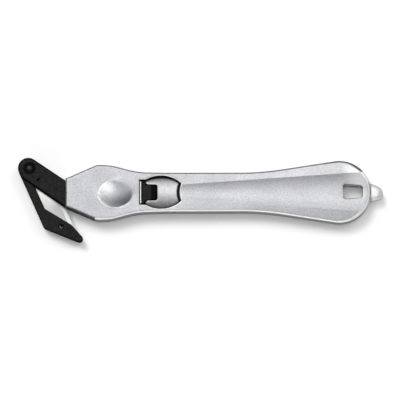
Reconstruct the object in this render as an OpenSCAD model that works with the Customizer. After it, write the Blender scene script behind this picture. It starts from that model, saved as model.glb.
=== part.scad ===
// Safety cutter with a die-cast handle and a clip-in hooked blade head.
// Lies on its back: +X runs to the tail, +Y to the side the hook opens away from, +Z out of the front.
// The origin is on the back face, under the middle of the latch window. Millimetres.

/* [Handle] */
// Thickness of the casting
handle_t = 10; // [9.6:0.2:12]
// From the window's middle forward to the mouth
mouth_reach = 43.2; // [41:0.2:46]
// Half the width of the mouth
mouth_half = 6.3; // [6.2:0.1:7]
// From the window's middle forward to the widest point of the shoulders
shoulder_reach = 26; // [25:0.5:28]
// Half the width across the shoulders
shoulder_half = 12.45; // [11.5:0.1:13.5]
// Half the width of the grip's waist
waist_half = 8.8; // [8.7:0.05:9.6]
// From the window's middle back to where the waist starts to flare
flare_start = 36; // [30:1:42]
// From the window's middle back to the centre of the round tail
tail_reach = 80.8; // [76:0.2:90]
// Radius of the round tail
tail_r = 14.1; // [13:0.1:15]
// Radius of the long edges
edge_r = 0.8; // [0.5:0.1:1]
// Radius round the mouth
mouth_edge_r = 0.5; // [0.3:0.1:0.5]

/* [Grip flutes] */
// Depth of the middle flute at the tail
flute_depth = 1.1; // [0.6:0.1:1.4]
// Share of that depth at the window
flute_start_share = 0.28; // [0.1:0.02:0.5]
// Fall of the side strips from ridge to edge at the tail
strip_fall = 0.9; // [0.4:0.1:1.2]
// Half the distance between the ridges at the window
ridge_near = 3.3; // [3:0.1:4]
// Half the distance between the ridges at the tail's centre
ridge_far = 8.2; // [7.5:0.1:9]

/* [Thumb dome] */
// From the window's middle forward to the dome's middle
dome_reach = 20.6; // [19.5:0.1:21]
// Offset of the dome towards the hook
dome_offset = 0.5; // [0:0.1:1]
// Length of the dome
dome_l = 15.2; // [13:0.2:15.6]
// Width of the dome
dome_w = 12.4; // [11:0.2:14]
// Height of the dome over the face
dome_h = 1.6; // [0.8:0.1:1.6]

/* [Hang hole] */
// Length of the hole
hole_l = 8.9; // [8:0.1:9.4]
// Height of the hole at its front end
hole_front_h = 6.5; // [6:0.1:7]
// Height of the hole at its tail end
hole_back_h = 5.2; // [4.8:0.1:5.8]
// Corner radius of the hole
hole_corner_r = 1.3; // [0.8:0.1:1.6]
// Metal left between the hole and the end of the tail
hole_land = 3.6; // [3.2:0.1:5]

/* [Latch window] */
// Half the width of the barrel-shaped window
window_half = 7.55; // [7.3:0.05:7.6]
// Radius of the window's long sides
window_side_r = 13.4; // [13:0.1:15]
// From the window's middle to its hollow tail side
window_back = 8.4; // [8.3:0.1:8.9]
// Radius of the hollow tail side
window_back_r = 10; // [9:0.5:14]
// From the window's middle to the front wall that the latch hooks behind
catch_wall = 9.9; // [9.8:0.05:10.2]
// Half the width of the latch slot
slot_half = 5.75; // [5.7:0.05:6]

/* [Release lever] */
// Gap round the lever
lever_gap = 0.45; // [0.4:0.05:0.65]
// Gap behind the lever
lever_back_gap = 1.15; // [0.9:0.05:1.2]
// Height of the lever's crown over the back face
lever_top = 9.2; // [9:0.1:9.4]
// Radius of the lever's barrel-shaped top
lever_crown_r = 11.5; // [11:0.1:14]
// Height of the lever's underside
lever_under = 4.9; // [4.8:0.05:5]
// Height of the underside of the lever's two prongs
prong_under = 6; // [5.9:0.05:6.1]
// From the window's middle to the tips of the prongs
prong_reach = 7; // [6.8:0.1:7]
// From the window's middle to the lever's pin
pin_reach = 6; // [5.9:0.1:6.1]
// Height of the pin's centre
pin_z = 6.4; // [6.3:0.05:6.5]
// Radius of the pin
pin_r = 0.8; // [0.7:0.05:0.85]
// Running clearance of the pin in the lever
pin_fit = 0.05; // [0.03:0.01:0.08]
// Radius of the lever spring, outside
spring_r = 1.6; // [1.4:0.1:1.7]
// Radius of the spring's wire
spring_wire_r = 0.22; // [0.18:0.02:0.26]
// Turns of the spring
spring_turns = 4.5; // [3.5:0.5:5]
// From the window's middle to the spring's centre
spring_reach = 1.3; // [1.1:0.1:1.6]

/* [Blade head] */
// Width of the shank that slides into the handle
shank_w = 10.3; // [10:0.1:10.4]
// Thickness of the shank
shank_t = 5.2; // [5:0.1:5.4]
// Sliding clearance of the shank all round
shank_fit = 0.1; // [0.06:0.01:0.15]
// Angle of the arm below the handle's axis
arm_angle = 34.2; // [33.8:0.1:34.6]
// Thickness of the arm
arm_t = 7; // [6.4:0.1:7.6]
// Thickness of the hook's leg and guard
hook_t = 4; // [3.6:0.1:4.6]
// From the nose's centre back to the handle's mouth, along the arm
arm_l = 17.3; // [16.5:0.1:18.5]
// Height of the arm's upper edge at the mouth
arm_top_at_mouth = 5.65; // [5.4:0.05:5.9]
// Depth of the arm's lower edge below the axis at the mouth
arm_low_at_mouth = 6.65; // [6.5:0.05:6.9]
// Angle of the leg below the handle's axis
leg_angle = 66; // [65:0.2:67]
// Length of the leg's outer edge
leg_l = 28; // [27:0.1:28.5]
// Width of the leg
leg_w = 3.9; // [3.7:0.1:4.2]
// From the start of the leg's outer edge to its inner corner, along the leg
leg_in_l = 19.9; // [19.2:0.1:20.4]
// Angle of the guard's outer edge below the handle's axis
guard_angle = 22; // [21.5:0.1:22.5]
// Length of the guard's outer edge, up to where its tip would be sharp
guard_l = 23.2; // [22.5:0.1:24]
// Angle of the guard's inner edge below the handle's axis
guard_in_angle = 31.3; // [30.5:0.1:32]
// Length of the guard's inner edge, up to the bend before its tip
guard_in_l = 14.35; // [14:0.1:15]
// Radius of the guard's tip
guard_tip_r = 1.55; // [1.4:0.05:1.6]
// Radius of the arm's round nose
nose_r = 4.65; // [4.5:0.05:4.8]
// Thickness of the blade
blade_t = 0.6; // [0.4:0.05:0.8]
// Distance of the blade's spine inside the leg's outer edge
blade_inset = 0.9; // [0.8:0.05:1.1]
// Width of the blade, spine to edge
blade_w = 11.7; // [11.4:0.05:11.9]
// Length of the blade's spine side
blade_l = 27.5; // [27:0.1:27.8]
// Width of the blade's ground bevel
bevel_w = 1.7; // [1.2:0.1:2.2]
// Radius of the two pins that locate the blade
rivet_r = 0.9; // [0.7:0.05:1]
// Depth at which the pins stop below the faces
rivet_sink = 0.5; // [0.3:0.1:0.8]
// Radius of the dish round the nose stud
dish_r = 2.5; // [2.2:0.1:2.8]
// Depth of that dish
dish_depth = 0.5; // [0.3:0.1:0.7]

/* [Latch] */
// From the window's middle forward to the latch's hinge
latch_hinge_reach = 27; // [26:0.5:28]
// Radius of the hinge bead
bead_r = 0.8; // [0.7:0.05:0.85]
// Thickness of the springy arm
latch_arm_t = 1.3; // [1:0.1:1.3]
// Half the width of the arm and the thumb tongue
tongue_half = 3.35; // [3.1:0.05:3.4]
// From the window's middle to the tongue's end
tongue_end = 2.05; // [1.9:0.05:2.2]
// From the window's middle forward to where the tongue's top starts to slope
tongue_bend = 4.5; // [4:0.1:5]
// Length of the latch's cross bar, along the handle
bar_l = 3.1; // [2.9:0.1:3.2]
// Height of the top of the steel strip
strip_top = 9; // [8.9:0.05:9.1]
// Thickness of the steel strip
strip_t = 0.6; // [0.5:0.05:0.7]

/* [Tape splitter] */
// Reach of the splitter past the tail
splitter_reach = 5.5; // [4.5:0.1:6.5]
// Half the width of the splitter at the tail
splitter_half = 4.2; // [3.8:0.1:4.6]
// Thickness of the splitter outside the handle
splitter_t = 5.6; // [5:0.1:6]
// Thickness of the tang inside the handle
tang_t = 3; // [2.4:0.1:3.4]
// Half the width of the tang
tang_half = 6.5; // [6.2:0.1:7]
// Length of the tang, forward of the end of the tail
tang_l = 16; // [14:0.5:18]

/* [Hidden] */
$fn = 64;

eps = 0.01;
seat_gap = 0.05;
mid_z = handle_t / 2;
mouth_x = -mouth_reach;
tail_end = tail_reach + tail_r;

// ---- helpers ----
function smooth_step(t) = let(u = min(max(t, 0), 1)) u * u * (3 - 2 * u);
function dir(a) = [cos(a), sin(a)];
function turn(v) = [-v.y, v.x];
function unit(v) = v / norm(v);

// Height at share t of the cubic between stations a and b, each [x, height, slope].
function hermite(a, b, t) = let(l = b.x - a.x)
    (2 * t ^ 3 - 3 * t ^ 2 + 1) * a.y + (t ^ 3 - 2 * t ^ 2 + t) * l * a.z
    + (3 * t ^ 2 - 2 * t ^ 3) * b.y + (t ^ 3 - t ^ 2) * l * b.z;

// Outline through corners [x, y, r], each rounded with its own radius.
function rounded(corners, steps = 6) = let(n = len(corners)) [
    for (i = [0:n - 1])
        let(p = corners[i], a = corners[(i + n - 1) % n], b = corners[(i + 1) % n],
            c = [p.x, p.y], u = unit([a.x, a.y] - c), v = unit([b.x, b.y] - c),
            half = acos(u * v) / 2, r = p.z, centre = c + unit(u + v) * r / sin(half),
            a0 = atan2(c.y + u.y * r / tan(half) - centre.y, c.x + u.x * r / tan(half) - centre.x),
            a1 = atan2(c.y + v.y * r / tan(half) - centre.y, c.x + v.x * r / tan(half) - centre.x),
            sweep = (a1 - a0 + 540) % 360 - 180)
        for (k = [0:r > 0 ? steps : 0]) r > 0 ? centre + r * dir(a0 + sweep * k / steps) : c
];

module plate(z0, z1) { translate([0, 0, z0]) linear_extrude(z1 - z0) children(); }
module block(x0, x1, y0, y1, z0, z1) { translate([x0, y0, z0]) cube([x1 - x0, y1 - y0, z1 - z0]); }
module cross_rod(x, z, r, half) { translate([x, half, z]) rotate([90, 0, 0]) cylinder(r = r, h = 2 * half); }

// ---- handle casting ----
// Half width along the handle, as stations [x, half width, slope].
shoulder_slope = 0.44;
corner_x = -shoulder_reach - 4;
corner_half = mouth_half + (corner_x - mouth_x) * shoulder_slope * (shoulder_half - mouth_half) / 6.15;
flare_slope = 0.155;
flare_l = 20;
tail_tangent = atan(flare_slope);
tail_join_x = tail_reach - tail_r * sin(tail_tangent);
tail_join_half = tail_r * cos(tail_tangent);
edge_stations = [
    [mouth_x, mouth_half, (corner_half - mouth_half) / (corner_x - mouth_x)],
    [corner_x, corner_half, (corner_half - mouth_half) / (corner_x - mouth_x)],
    [-shoulder_reach, shoulder_half, 0],
    [-17, (shoulder_half + waist_half) / 2 + 0.2, -0.29],
    [-7, waist_half + 0.25, -0.035],
    [8, waist_half + 0.03, 0],
    [flare_start, waist_half, 0],
    [flare_start + flare_l,
        tail_join_half - (tail_join_x - flare_start - flare_l) * flare_slope, flare_slope],
    [tail_join_x, tail_join_half, flare_slope]
];
edge_steps = [2, 4, 6, 5, 3, 5, 6, 5];

// Ring of the outline at one place: [x, half width, outward normal, pull-in of the end edge].
mouth_rings = [for (a = [0:30:90])
    [mouth_x + mouth_edge_r * (1 - cos(a)), mouth_half, [0, 1], mouth_edge_r * (1 - sin(a))]];
side_rings = [for (i = [0:len(edge_steps) - 1], k = [1:edge_steps[i]])
    let(a = edge_stations[i], b = edge_stations[i + 1], t = k / edge_steps[i])
        [a.x + (b.x - a.x) * t, hermite(a, b, t), [0, 1], 0]];
tail_steps = 12;
tail_stop = 1.5;
tail_rings = [for (k = [1:tail_steps])
    let(a = 90 + tail_tangent + (tail_stop - 90 - tail_tangent) * k / tail_steps)
        [tail_reach + tail_r * cos(a), tail_r * sin(a), dir(a), 0]];
rings = concat(mouth_rings, side_rings, tail_rings);

// Depth of the flute and fall of the strips at x, on a face whose flutes start at x0.
function flute_share(x, x0) = x < x0 ? 0 :
    smooth_step((x - x0) / 6) * (flute_start_share + (1 - flute_start_share) * (x - x0) / (tail_reach - x0));
function strip_share(x, x0) = smooth_step((x - x0 - 6) / 50);
function ridge(x) =
    ridge_near + (ridge_far - ridge_near) * max(0, x - window_back) / (tail_reach - window_back);
// How far the face lies below its flat at distance y from the axis.
function face_drop(x, y, x0) = let(r = ridge(x))
    y < r ? flute_depth * flute_share(x, x0) * (1 - (y / r) ^ 2)
          : strip_fall * strip_share(x, x0) * (y - r) / (tail_r - r);

// One face of a ring, from the +Y edge to the -Y edge; up is 1 for the front and -1 for the back.
round_steps = 4;
function face_points(ring, up, x0) = let(
        y_edge = ring.y - edge_r * ring[2].y - ring[3],
        x_in = ring.x - edge_r * ring[2].x,
        r = min(ridge(x_in), y_edge * 0.97),
        z_top = mid_z - ring[3],
        edge_drop = face_drop(x_in, y_edge, x0),
        side = [for (k = [0:round_steps - 1]) let(a = 90 * k / round_steps, d = edge_r * (1 - cos(a)))
            [ring.x - d * ring[2].x, ring.y - d * ring[2].y - ring[3],
                z_top - edge_drop - edge_r * (1 - sin(a))]],
        across = [for (y = [y_edge, (y_edge + r) / 2, r, r * 0.78, r * 0.52, r * 0.26])
            [x_in, y, z_top - face_drop(x_in, y, x0)]],
        half = concat(side, across),
        middle = [[x_in, 0, z_top - face_drop(x_in, 0, x0)]],
        n = len(half))
    [for (p = concat(half, middle, [for (k = [n - 1:-1:0]) [half[k].x, -half[k].y, half[k].z]]))
        [p.x, p.y, mid_z + up * p.z]];
front_flute_x = -2;
back_flute_x = window_back;
loops = [for (g = rings)
    let(f = face_points(g, 1, front_flute_x), b = face_points(g, -1, back_flute_x), n = len(b))
    concat(f, [for (k = [n - 1:-1:0]) b[k]])];

module handle_blank() {
    m = len(loops[0]);
    last = (len(loops) - 1) * m;
    polyhedron([for (l = loops, p = l) p], concat(
        [[for (k = [0:m - 1]) k]],
        [for (i = [0:len(loops) - 2], k = [0:m - 1]) let(a = i * m + k, b = i * m + (k + 1) % m)
            [a, a + m, b + m, b]],
        [[for (k = [m - 1:-1:0]) last + k]]), convexity = 6);
}

// Thumb dome: the top of a spindle that lies along the handle.
module thumb_dome() {
    girth_r = ((dome_w / 2) ^ 2 + dome_h ^ 2) / (2 * dome_h);
    long_r = ((dome_l / 2) ^ 2 + dome_h ^ 2) / (2 * dome_h);
    intersection() {
        translate([-dome_reach, -dome_offset, handle_t + dome_h - girth_r]) rotate([0, 90, 0])
            rotate_extrude() intersection() {
                translate([girth_r - long_r, 0]) circle(long_r);
                translate([0, -dome_l]) square([girth_r + 1, 2 * dome_l]);
            }
        block(-dome_reach - dome_l, -dome_reach + dome_l, -dome_w, dome_w,
            handle_t - 0.4, handle_t + dome_h + 1);
    }
}

// Barrel-shaped plan of the window and the lever, drawn in by g at the sides and by back_g at the tail.
module barrel_2d(g, back_g, front_x) {
    offset_y = window_side_r - window_half;
    difference() {
        intersection() {
            translate([0, -offset_y]) circle(window_side_r - g);
            translate([0, offset_y]) circle(window_side_r - g);
            translate([front_x, -window_half]) square([window_back + 3 - front_x, 2 * window_half]);
        }
        translate([window_back + window_back_r, 0]) circle(window_back_r + back_g);
    }
}

socket_half = shank_w / 2 + shank_fit;
socket_floor = mid_z - shank_t / 2 - shank_fit;
socket_roof = mid_z + shank_t / 2 + shank_fit;
well_floor = 3.2;
heel_x = pin_reach + 0.7;
heel_z = lever_under - 0.1;
spring_floor = 2.2;
pocket_r = spring_r + 0.3;
slot_l = 3.4;
channel_end = -prong_reach + 0.8;

module socket_and_window() {
    block(mouth_x - 1, channel_end, -socket_half, socket_half, socket_floor, socket_roof);
    block(-catch_wall, -catch_wall + slot_l, -slot_half, slot_half, socket_roof - 1, handle_t + 1);
    plate(heel_z, handle_t + 1) barrel_2d(0, 0, -7.3);
    intersection() {
        plate(well_floor, handle_t) barrel_2d(0, 0, -7.3);
        block(-7.3, heel_x, -window_half, window_half, well_floor, handle_t);
    }
    translate([spring_reach, 0, spring_floor]) cylinder(r = pocket_r, h = handle_t);
}

hole_mid = tail_end - hole_land - hole_l / 2;
module hang_hole_2d(grow = 0) {
    f = hole_mid - hole_l / 2 - grow;
    b = hole_mid + hole_l / 2 + grow;
    polygon(rounded([
        [f, -hole_front_h / 2 - grow, hole_corner_r], [b, -hole_back_h / 2 - grow, hole_corner_r],
        [b, hole_back_h / 2 + grow, hole_corner_r], [f, hole_front_h / 2 + grow, hole_corner_r]]));
}

module handle() {
    color("silver") difference() {
        union() {
            handle_blank();
            thumb_dome();
        }
        socket_and_window();
        cross_rod(pin_reach, pin_z, pin_r, waist_half + 2);
        plate(-1, handle_t + 1) hang_hole_2d();
        block(tail_end - tang_l - seat_gap, tail_end + 1, -tang_half - seat_gap, tang_half + seat_gap,
            mid_z - tang_t / 2 - seat_gap, mid_z + tang_t / 2 + seat_gap);
    }
}

// ---- tape splitter ----
module tape_splitter() {
    tip = tail_end + splitter_reach;
    color("lightgray") difference() {
        union() {
            intersection() {
                plate(0, handle_t) polygon(rounded([[tail_end - 3, -splitter_half - 0.3, 0.2],
                    [tip, -splitter_half + 0.6, 2.6], [tip, splitter_half - 0.6, 2.6],
                    [tail_end - 3, splitter_half + 0.3, 0.2]], 8));
                union() {
                    block(tail_end - 4, tip - splitter_t / 2, -tail_r, tail_r,
                        mid_z - splitter_t / 2, mid_z + splitter_t / 2);
                    cross_rod(tip - splitter_t / 2, mid_z, splitter_t / 2, tail_r);
                }
            }
            intersection() {
                block(tail_end - tang_l, tail_end + 0.5, -tang_half, tang_half,
                    mid_z - tang_t / 2, mid_z + tang_t / 2);
                translate([tail_reach, 0, 0]) cylinder(r = tail_r - edge_r, h = handle_t);
            }
            block(tail_end - 3, tail_end + 1, -splitter_half, splitter_half,
                mid_z - tang_t / 2, mid_z + tang_t / 2);
        }
        plate(-1, handle_t + 1) hang_hole_2d();
        difference() {
            translate([tail_reach, 0, -1]) cylinder(r = tail_r + seat_gap, h = handle_t + 2);
            block(0, tail_end + 3, -tail_r, tail_r, mid_z - tang_t / 2, mid_z + tang_t / 2);
        }
    }
}

// ---- release lever, its pin and its spring ----
notch_half = tongue_half + 0.25;
notch_end = -tongue_end + 0.35;
spring_top = lever_under + 1;
tip_relief = 0.3;

module release_lever() {
    color("gainsboro") difference() {
        intersection() {
            plate(lever_under, handle_t) barrel_2d(lever_gap, lever_back_gap, -prong_reach);
            translate([-20, 0, lever_top - lever_crown_r]) rotate([0, 90, 0])
                cylinder(r = lever_crown_r, h = 40, $fn = 96);
        }
        plate(0, handle_t) polygon(rounded([[-prong_reach - 2, -notch_half - 2.9, 0],
            [-prong_reach + 0.9, -notch_half, 0.8], [notch_end, -notch_half, 1], [notch_end, notch_half, 1],
            [-prong_reach + 0.9, notch_half, 0.8], [-prong_reach - 2, notch_half + 2.9, 0]]));
        block(-prong_reach - 1, notch_end, -window_half, window_half, 0, prong_under);
        block(-prong_reach - 1, -prong_reach + 0.8, -window_half, window_half, 0, prong_under + tip_relief);
        cross_rod(pin_reach, pin_z, pin_r + pin_fit, window_half + 1);
        translate([spring_reach, 0, 0]) cylinder(r = pocket_r, h = spring_top);
    }
}

module lever_pin() { color("darkgray") cross_rod(pin_reach, pin_z, pin_r, waist_half - 0.25); }

// Round wire swept along a helix whose ends close up flat.
module lever_spring() {
    steps = 16;
    sides = 8;
    n = ceil(spring_turns * steps);
    coil_r = spring_r - spring_wire_r;
    z0 = spring_floor + spring_wire_r;
    rise = spring_top - seat_gap - spring_wire_r - z0;
    flat = 0.75 / spring_turns;
    function lift(t) = rise * min(max((t - flat) / (1 - 2 * flat), 0), 1);
    points = [for (i = [0:n], k = [0:sides - 1])
        let(t = i / n, a = 360 * spring_turns * t, b = 360 * k / sides, r = coil_r + spring_wire_r * cos(b))
            [spring_reach + r * cos(a), r * sin(a), z0 + lift(t) + spring_wire_r * sin(b)]];
    color("dimgray") polyhedron(points, concat(
        [[for (k = [0:sides - 1]) k]],
        [for (i = [0:n - 1], k = [0:sides - 1]) let(a = i * sides + k, b = i * sides + (k + 1) % sides)
            [a, a + sides, b + sides, b]],
        [[for (k = [sides - 1:-1:0]) n * sides + k]]), convexity = 8);
}

// ---- blade head ----
along = dir(-arm_angle);
across = turn(along);
shoulder_gap = 0.1;
nose = [mouth_x, arm_top_at_mouth] - along * arm_l - across * nose_r;
leg_side = turn(dir(-leg_angle));
leg_start = nose - leg_side * nose_r;

// Point u along the leg's outer edge and w in from it.
function leg_point(u, w) = leg_start + dir(-leg_angle) * u + leg_side * w;

// Arm seen from the front: a round nose that runs into the leg's outer edge, cut off square at the mouth.
module arm_2d() {
    end_x = mouth_x - shoulder_gap;
    fall = tan(arm_angle) * shoulder_gap;
    translate(nose) circle(nose_r);
    polygon([leg_start, leg_start + dir(-leg_angle) * 2.85, [end_x, fall - arm_low_at_mouth],
        [end_x, arm_top_at_mouth + fall], nose + across * nose_r]);
}

// Leg and guard of the hook.
heel = leg_point(leg_l, 0);
tip = heel + dir(-guard_angle) * guard_l;
inner = leg_point(leg_in_l, leg_w);
bend = inner + dir(-guard_in_angle) * guard_in_l;
leg_root = leg_point(leg_in_l - 13.3, leg_w);
module hook_2d() {
    polygon(rounded([concat(leg_start, 0), concat(heel, 3), concat(tip, guard_tip_r),
        concat(bend, 3), concat(inner, 0.4), concat(leg_root, 0)]));
}

stud_at = nose + [0.6, -0.2];
arm_rivet_at = nose + [4.5, -5.4];
guard_rivet_at = nose + [14.9, -26.6];
shank_rivet_at = [mouth_x + 8, 0];

// Blade: six corners, the first and last joined by the cutting edge.
blade_end = blade_l + 7.3;
blade_side = blade_inset + blade_w;
blade_corners = [leg_point(15.35, blade_side), leg_point(4.5, blade_side / 2), leg_point(7.3, blade_inset),
    leg_point(blade_end - 9.2, blade_inset), leg_point(blade_end + 0.3, blade_side - 3.4),
    leg_point(blade_end, blade_side)];

module blade() {
    a = blade_corners[0];
    b = blade_corners[5];
    edge = b - a;
    tilt = atan((blade_t / 2 - 0.03) / bevel_w);
    color("whitesmoke") difference() {
        plate(mid_z - blade_t / 2, mid_z + blade_t / 2) polygon(blade_corners);
        for (s = [-1, 1])
            translate([a.x, a.y, mid_z + s * 0.03]) rotate([0, 0, atan2(edge.y, edge.x)])
                rotate([-s * tilt, 0, 0]) translate([-5, -6, s > 0 ? 0 : -2]) cube([norm(edge) + 10, 12, 2]);
        for (p = [arm_rivet_at, guard_rivet_at])
            translate([p.x, p.y, 0]) cylinder(r = rivet_r + seat_gap, h = handle_t);
    }
}

shank_half = shank_w / 2;
rail_in = tongue_half + 0.35;
rail_end = -catch_wall - 0.9;
hinge_x = -latch_hinge_reach;
hinge_z = 6.7;
bed_z = 3.3;
bead_fit = 0.05;

// Shank between z0 and z1 of the split head, with the well that the latch springs down into.
module shank_layer(z0, z1) {
    block(mouth_x - shoulder_gap - 1, hinge_x + bead_r / 2, -shank_half, shank_half, z0, z1);
    for (s = [-1, 1])
        block(hinge_x, rail_end, s > 0 ? rail_in : -shank_half, s > 0 ? shank_half : -rail_in, z0, z1);
}

// One half of the head; side is 1 for the front and -1 for the back.
module head_half(side) {
    arm_z = mid_z + side * arm_t / 2;
    hook_z = mid_z + side * hook_t / 2;
    shank_z = mid_z + side * shank_t / 2;
    pocket = blade_t / 2 + 0.03;
    difference() {
        union() {
            plate(min(mid_z, arm_z), max(mid_z, arm_z)) arm_2d();
            plate(min(mid_z, hook_z), max(mid_z, hook_z)) hook_2d();
            if (side > 0) shank_layer(mid_z, shank_z);
            else {
                shank_layer(bed_z, mid_z);
                block(mouth_x - shoulder_gap - 1, channel_end - 0.3, -shank_half, shank_half, shank_z, bed_z);
            }
        }
        plate(mid_z - pocket, mid_z + pocket) polygon([for (i = [0:5])
            let(p = blade_corners[i], c = (blade_corners[0] + blade_corners[2] + blade_corners[4]) / 3)
                p + unit(p - c) * 0.12]);
        for (p = [arm_rivet_at, guard_rivet_at])
            translate([p.x, p.y, -1]) cylinder(r = rivet_r + seat_gap, h = handle_t + 2);
        translate([stud_at.x, stud_at.y, -1]) cylinder(r = rivet_r + seat_gap, h = handle_t + 2);
        translate([stud_at.x, stud_at.y, side > 0 ? arm_z - dish_depth : arm_z - 1])
            cylinder(r = dish_r, h = dish_depth + 1);
        translate([shank_rivet_at.x, 0, mid_z - shank_t / 2 + 0.8])
            cylinder(r = rivet_r + seat_gap, h = shank_t - 1.6);
        if (side > 0) cross_rod(hinge_x, hinge_z, bead_r + bead_fit, tongue_half + bead_fit);
    }
}

module head_front_half() { color([0.15, 0.15, 0.15]) head_half(1); }
module head_back_half() { color([0.1, 0.1, 0.1]) head_half(-1); }

// Stud that clamps the nose: a shaft with a low domed head in each dish.
module nose_stud() {
    head_r = 1.3;
    top = mid_z + arm_t / 2 - dish_depth;
    color([0.2, 0.2, 0.2]) translate([stud_at.x, stud_at.y, 0]) union() {
        translate([0, 0, 2 * mid_z - top]) cylinder(r = rivet_r, h = 2 * (top - mid_z));
        for (s = [-1, 1]) intersection() {
            translate([0, 0, mid_z + s * (top - mid_z - 2)]) sphere(r = 2.4);
            translate([0, 0, s > 0 ? top : 2 * mid_z - top - 1]) cylinder(r = head_r, h = 1);
        }
    }
}

module rivet(at, half) {
    translate([at.x, at.y, mid_z - half]) cylinder(r = rivet_r, h = 2 * half);
}
module arm_rivet() { color([0.2, 0.2, 0.2]) rivet(arm_rivet_at, arm_t / 2 - rivet_sink); }
module guard_rivet() { color([0.2, 0.2, 0.2]) rivet(guard_rivet_at, hook_t / 2 - rivet_sink); }
module shank_rivet() { color([0.2, 0.2, 0.2]) rivet(shank_rivet_at, shank_t / 2 - 0.9); }

// ---- latch ----
bar_x = -catch_wall + 0.35;
bar_end = bar_x + bar_l;
bar_half = shank_half - 0.05;
tab_z = hinge_z - latch_arm_t / 2;
bar_top = strip_top - 0.3;
tongue_top = 8.1;
ear_top = prong_under - 0.2;
ear_low = 5.2;
corner_start = tongue_half + 0.25;
strip_foot_z = tab_z + latch_arm_t;
strip_foot_l = 1.8;
ear_l = 1.5;

module latch_tab() {
    color([0.12, 0.12, 0.12]) difference() {
        union() {
            cross_rod(hinge_x, hinge_z, bead_r, tongue_half);
            block(hinge_x, bar_end, -tongue_half, tongue_half, tab_z, tab_z + latch_arm_t);
            translate([0, bar_half, 0]) rotate([90, 0, 0]) linear_extrude(2 * bar_half)
                polygon([[bar_x, ear_low], [bar_end, ear_low], [bar_end, tongue_top],
                    [bar_end - 0.7, bar_top - 0.2], [bar_x, bar_top - 0.2]]);
            intersection() {
                plate(tab_z, bar_top) polygon(rounded([
                    [bar_end - 1, -tongue_half, 0], [-tongue_end, -tongue_half, 1],
                    [-tongue_end, tongue_half, 1], [bar_end - 1, tongue_half, 0]]));
                translate([0, shank_w, 0]) rotate([90, 0, 0]) linear_extrude(2 * shank_w)
                    polygon([[bar_x, tab_z], [0, tab_z], [0, tongue_top - 0.35],
                        [-tongue_bend, bar_top], [bar_x, bar_top]]);
            }
            block(bar_end - 1, bar_end + ear_l, -bar_half, bar_half, ear_low, ear_top);
        }
        for (s = [-1, 1])
            plate(ear_top, handle_t) polygon([[bar_end, s * corner_start], [bar_end + 1, s * corner_start],
                [bar_end + 1, s * (corner_start + 3)], [bar_end - 3, s * (corner_start + 3)]]);
        strip_shape(0.02, shank_w);
    }
}

// Folded strip: a crest up the front of the bar and a foot let into it.
module strip_shape(grow, half) {
    top = grow > 0 ? handle_t : strip_top;
    block(bar_x - grow * 50, bar_x + strip_t + grow, -half, half, strip_foot_z - grow, top);
    block(bar_x - grow * 50, bar_x + strip_foot_l + grow, -half, half,
        strip_foot_z - grow, strip_foot_z + strip_t);
}
module latch_strip() { color("white") strip_shape(0, bar_half); }

handle();
tape_splitter();
release_lever();
lever_pin();
lever_spring();
head_front_half();
head_back_half();
blade();
nose_stud();
arm_rivet();
guard_rivet();
shank_rivet();
latch_tab();
latch_strip();
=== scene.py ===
import math
import bmesh
import bpy
import numpy as np
from mathutils import Matrix, Vector
from mathutils.geometry import delaunay_2d_cdt


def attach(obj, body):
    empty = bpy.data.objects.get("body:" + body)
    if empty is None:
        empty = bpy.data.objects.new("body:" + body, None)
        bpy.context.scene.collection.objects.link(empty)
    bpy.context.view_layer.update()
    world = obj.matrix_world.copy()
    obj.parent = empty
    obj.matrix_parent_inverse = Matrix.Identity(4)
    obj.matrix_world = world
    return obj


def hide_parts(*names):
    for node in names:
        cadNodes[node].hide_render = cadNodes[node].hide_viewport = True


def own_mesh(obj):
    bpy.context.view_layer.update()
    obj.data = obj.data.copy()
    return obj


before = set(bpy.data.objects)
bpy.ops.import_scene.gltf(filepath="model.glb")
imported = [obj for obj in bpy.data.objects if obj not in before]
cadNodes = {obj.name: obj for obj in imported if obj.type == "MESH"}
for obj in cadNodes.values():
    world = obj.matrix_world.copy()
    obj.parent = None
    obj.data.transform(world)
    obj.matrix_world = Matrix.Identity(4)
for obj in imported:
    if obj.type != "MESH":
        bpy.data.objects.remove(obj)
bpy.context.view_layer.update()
print("frame loaded:", len(cadNodes), "nodes")

mm = 0.001
midZ = 5.0  # every piece is split about this height
samePoint, cornerStep, arcStep = 0.02, 0.12, 0.4  # millimetres between points


# Plan outlines, in millimetres

def smoothStep(t):
    u = np.clip(t, 0, 1)
    return u * u * (3 - 2 * u)


def heading(degrees):
    return np.array([math.cos(math.radians(degrees)), math.sin(math.radians(degrees))])


def leftOf(v):
    return np.array([-v[1], v[0]])


def angleOf(v):
    return math.degrees(math.atan2(v[1], v[0]))


def arcPoints(centre, radius, start, end, step=0.3):
    count = max(3, math.ceil(abs(math.radians(end - start)) * radius / step))
    return [tuple(np.array(centre) + radius * heading(a)) for a in np.linspace(start, end, count + 1)]


def circle(x, y, radius, count=32):
    return [(x + radius * math.cos(a), y + radius * math.sin(a))
            for a in np.linspace(0, 2 * math.pi, count, endpoint=False)]


def cornerArc(before, corner, after, radius, step=0.15):
    # points that round one corner off
    corner = np.array(corner[:2], float)
    u = np.array(before[:2], float) - corner
    v = np.array(after[:2], float) - corner
    u /= np.linalg.norm(u)
    v /= np.linalg.norm(v)
    if radius <= 0:
        return [tuple(corner)]
    half = math.acos(max(-1, min(1, float(u @ v)))) / 2
    centre = corner + (u + v) / np.linalg.norm(u + v) * radius / math.sin(half)
    reach = radius / math.tan(half)
    a0 = angleOf(corner + u * reach - centre)
    sweep = (angleOf(corner + v * reach - centre) - a0 + 540) % 360 - 180
    return arcPoints(centre, radius, a0, a0 + sweep, step)


def roundedPath(corners):
    # a closed path through corners (x, y, radius)
    path = []
    for i, corner in enumerate(corners):
        path += cornerArc(corners[i - 1], corner, corners[(i + 1) % len(corners)], corner[2])
    return path


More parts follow.
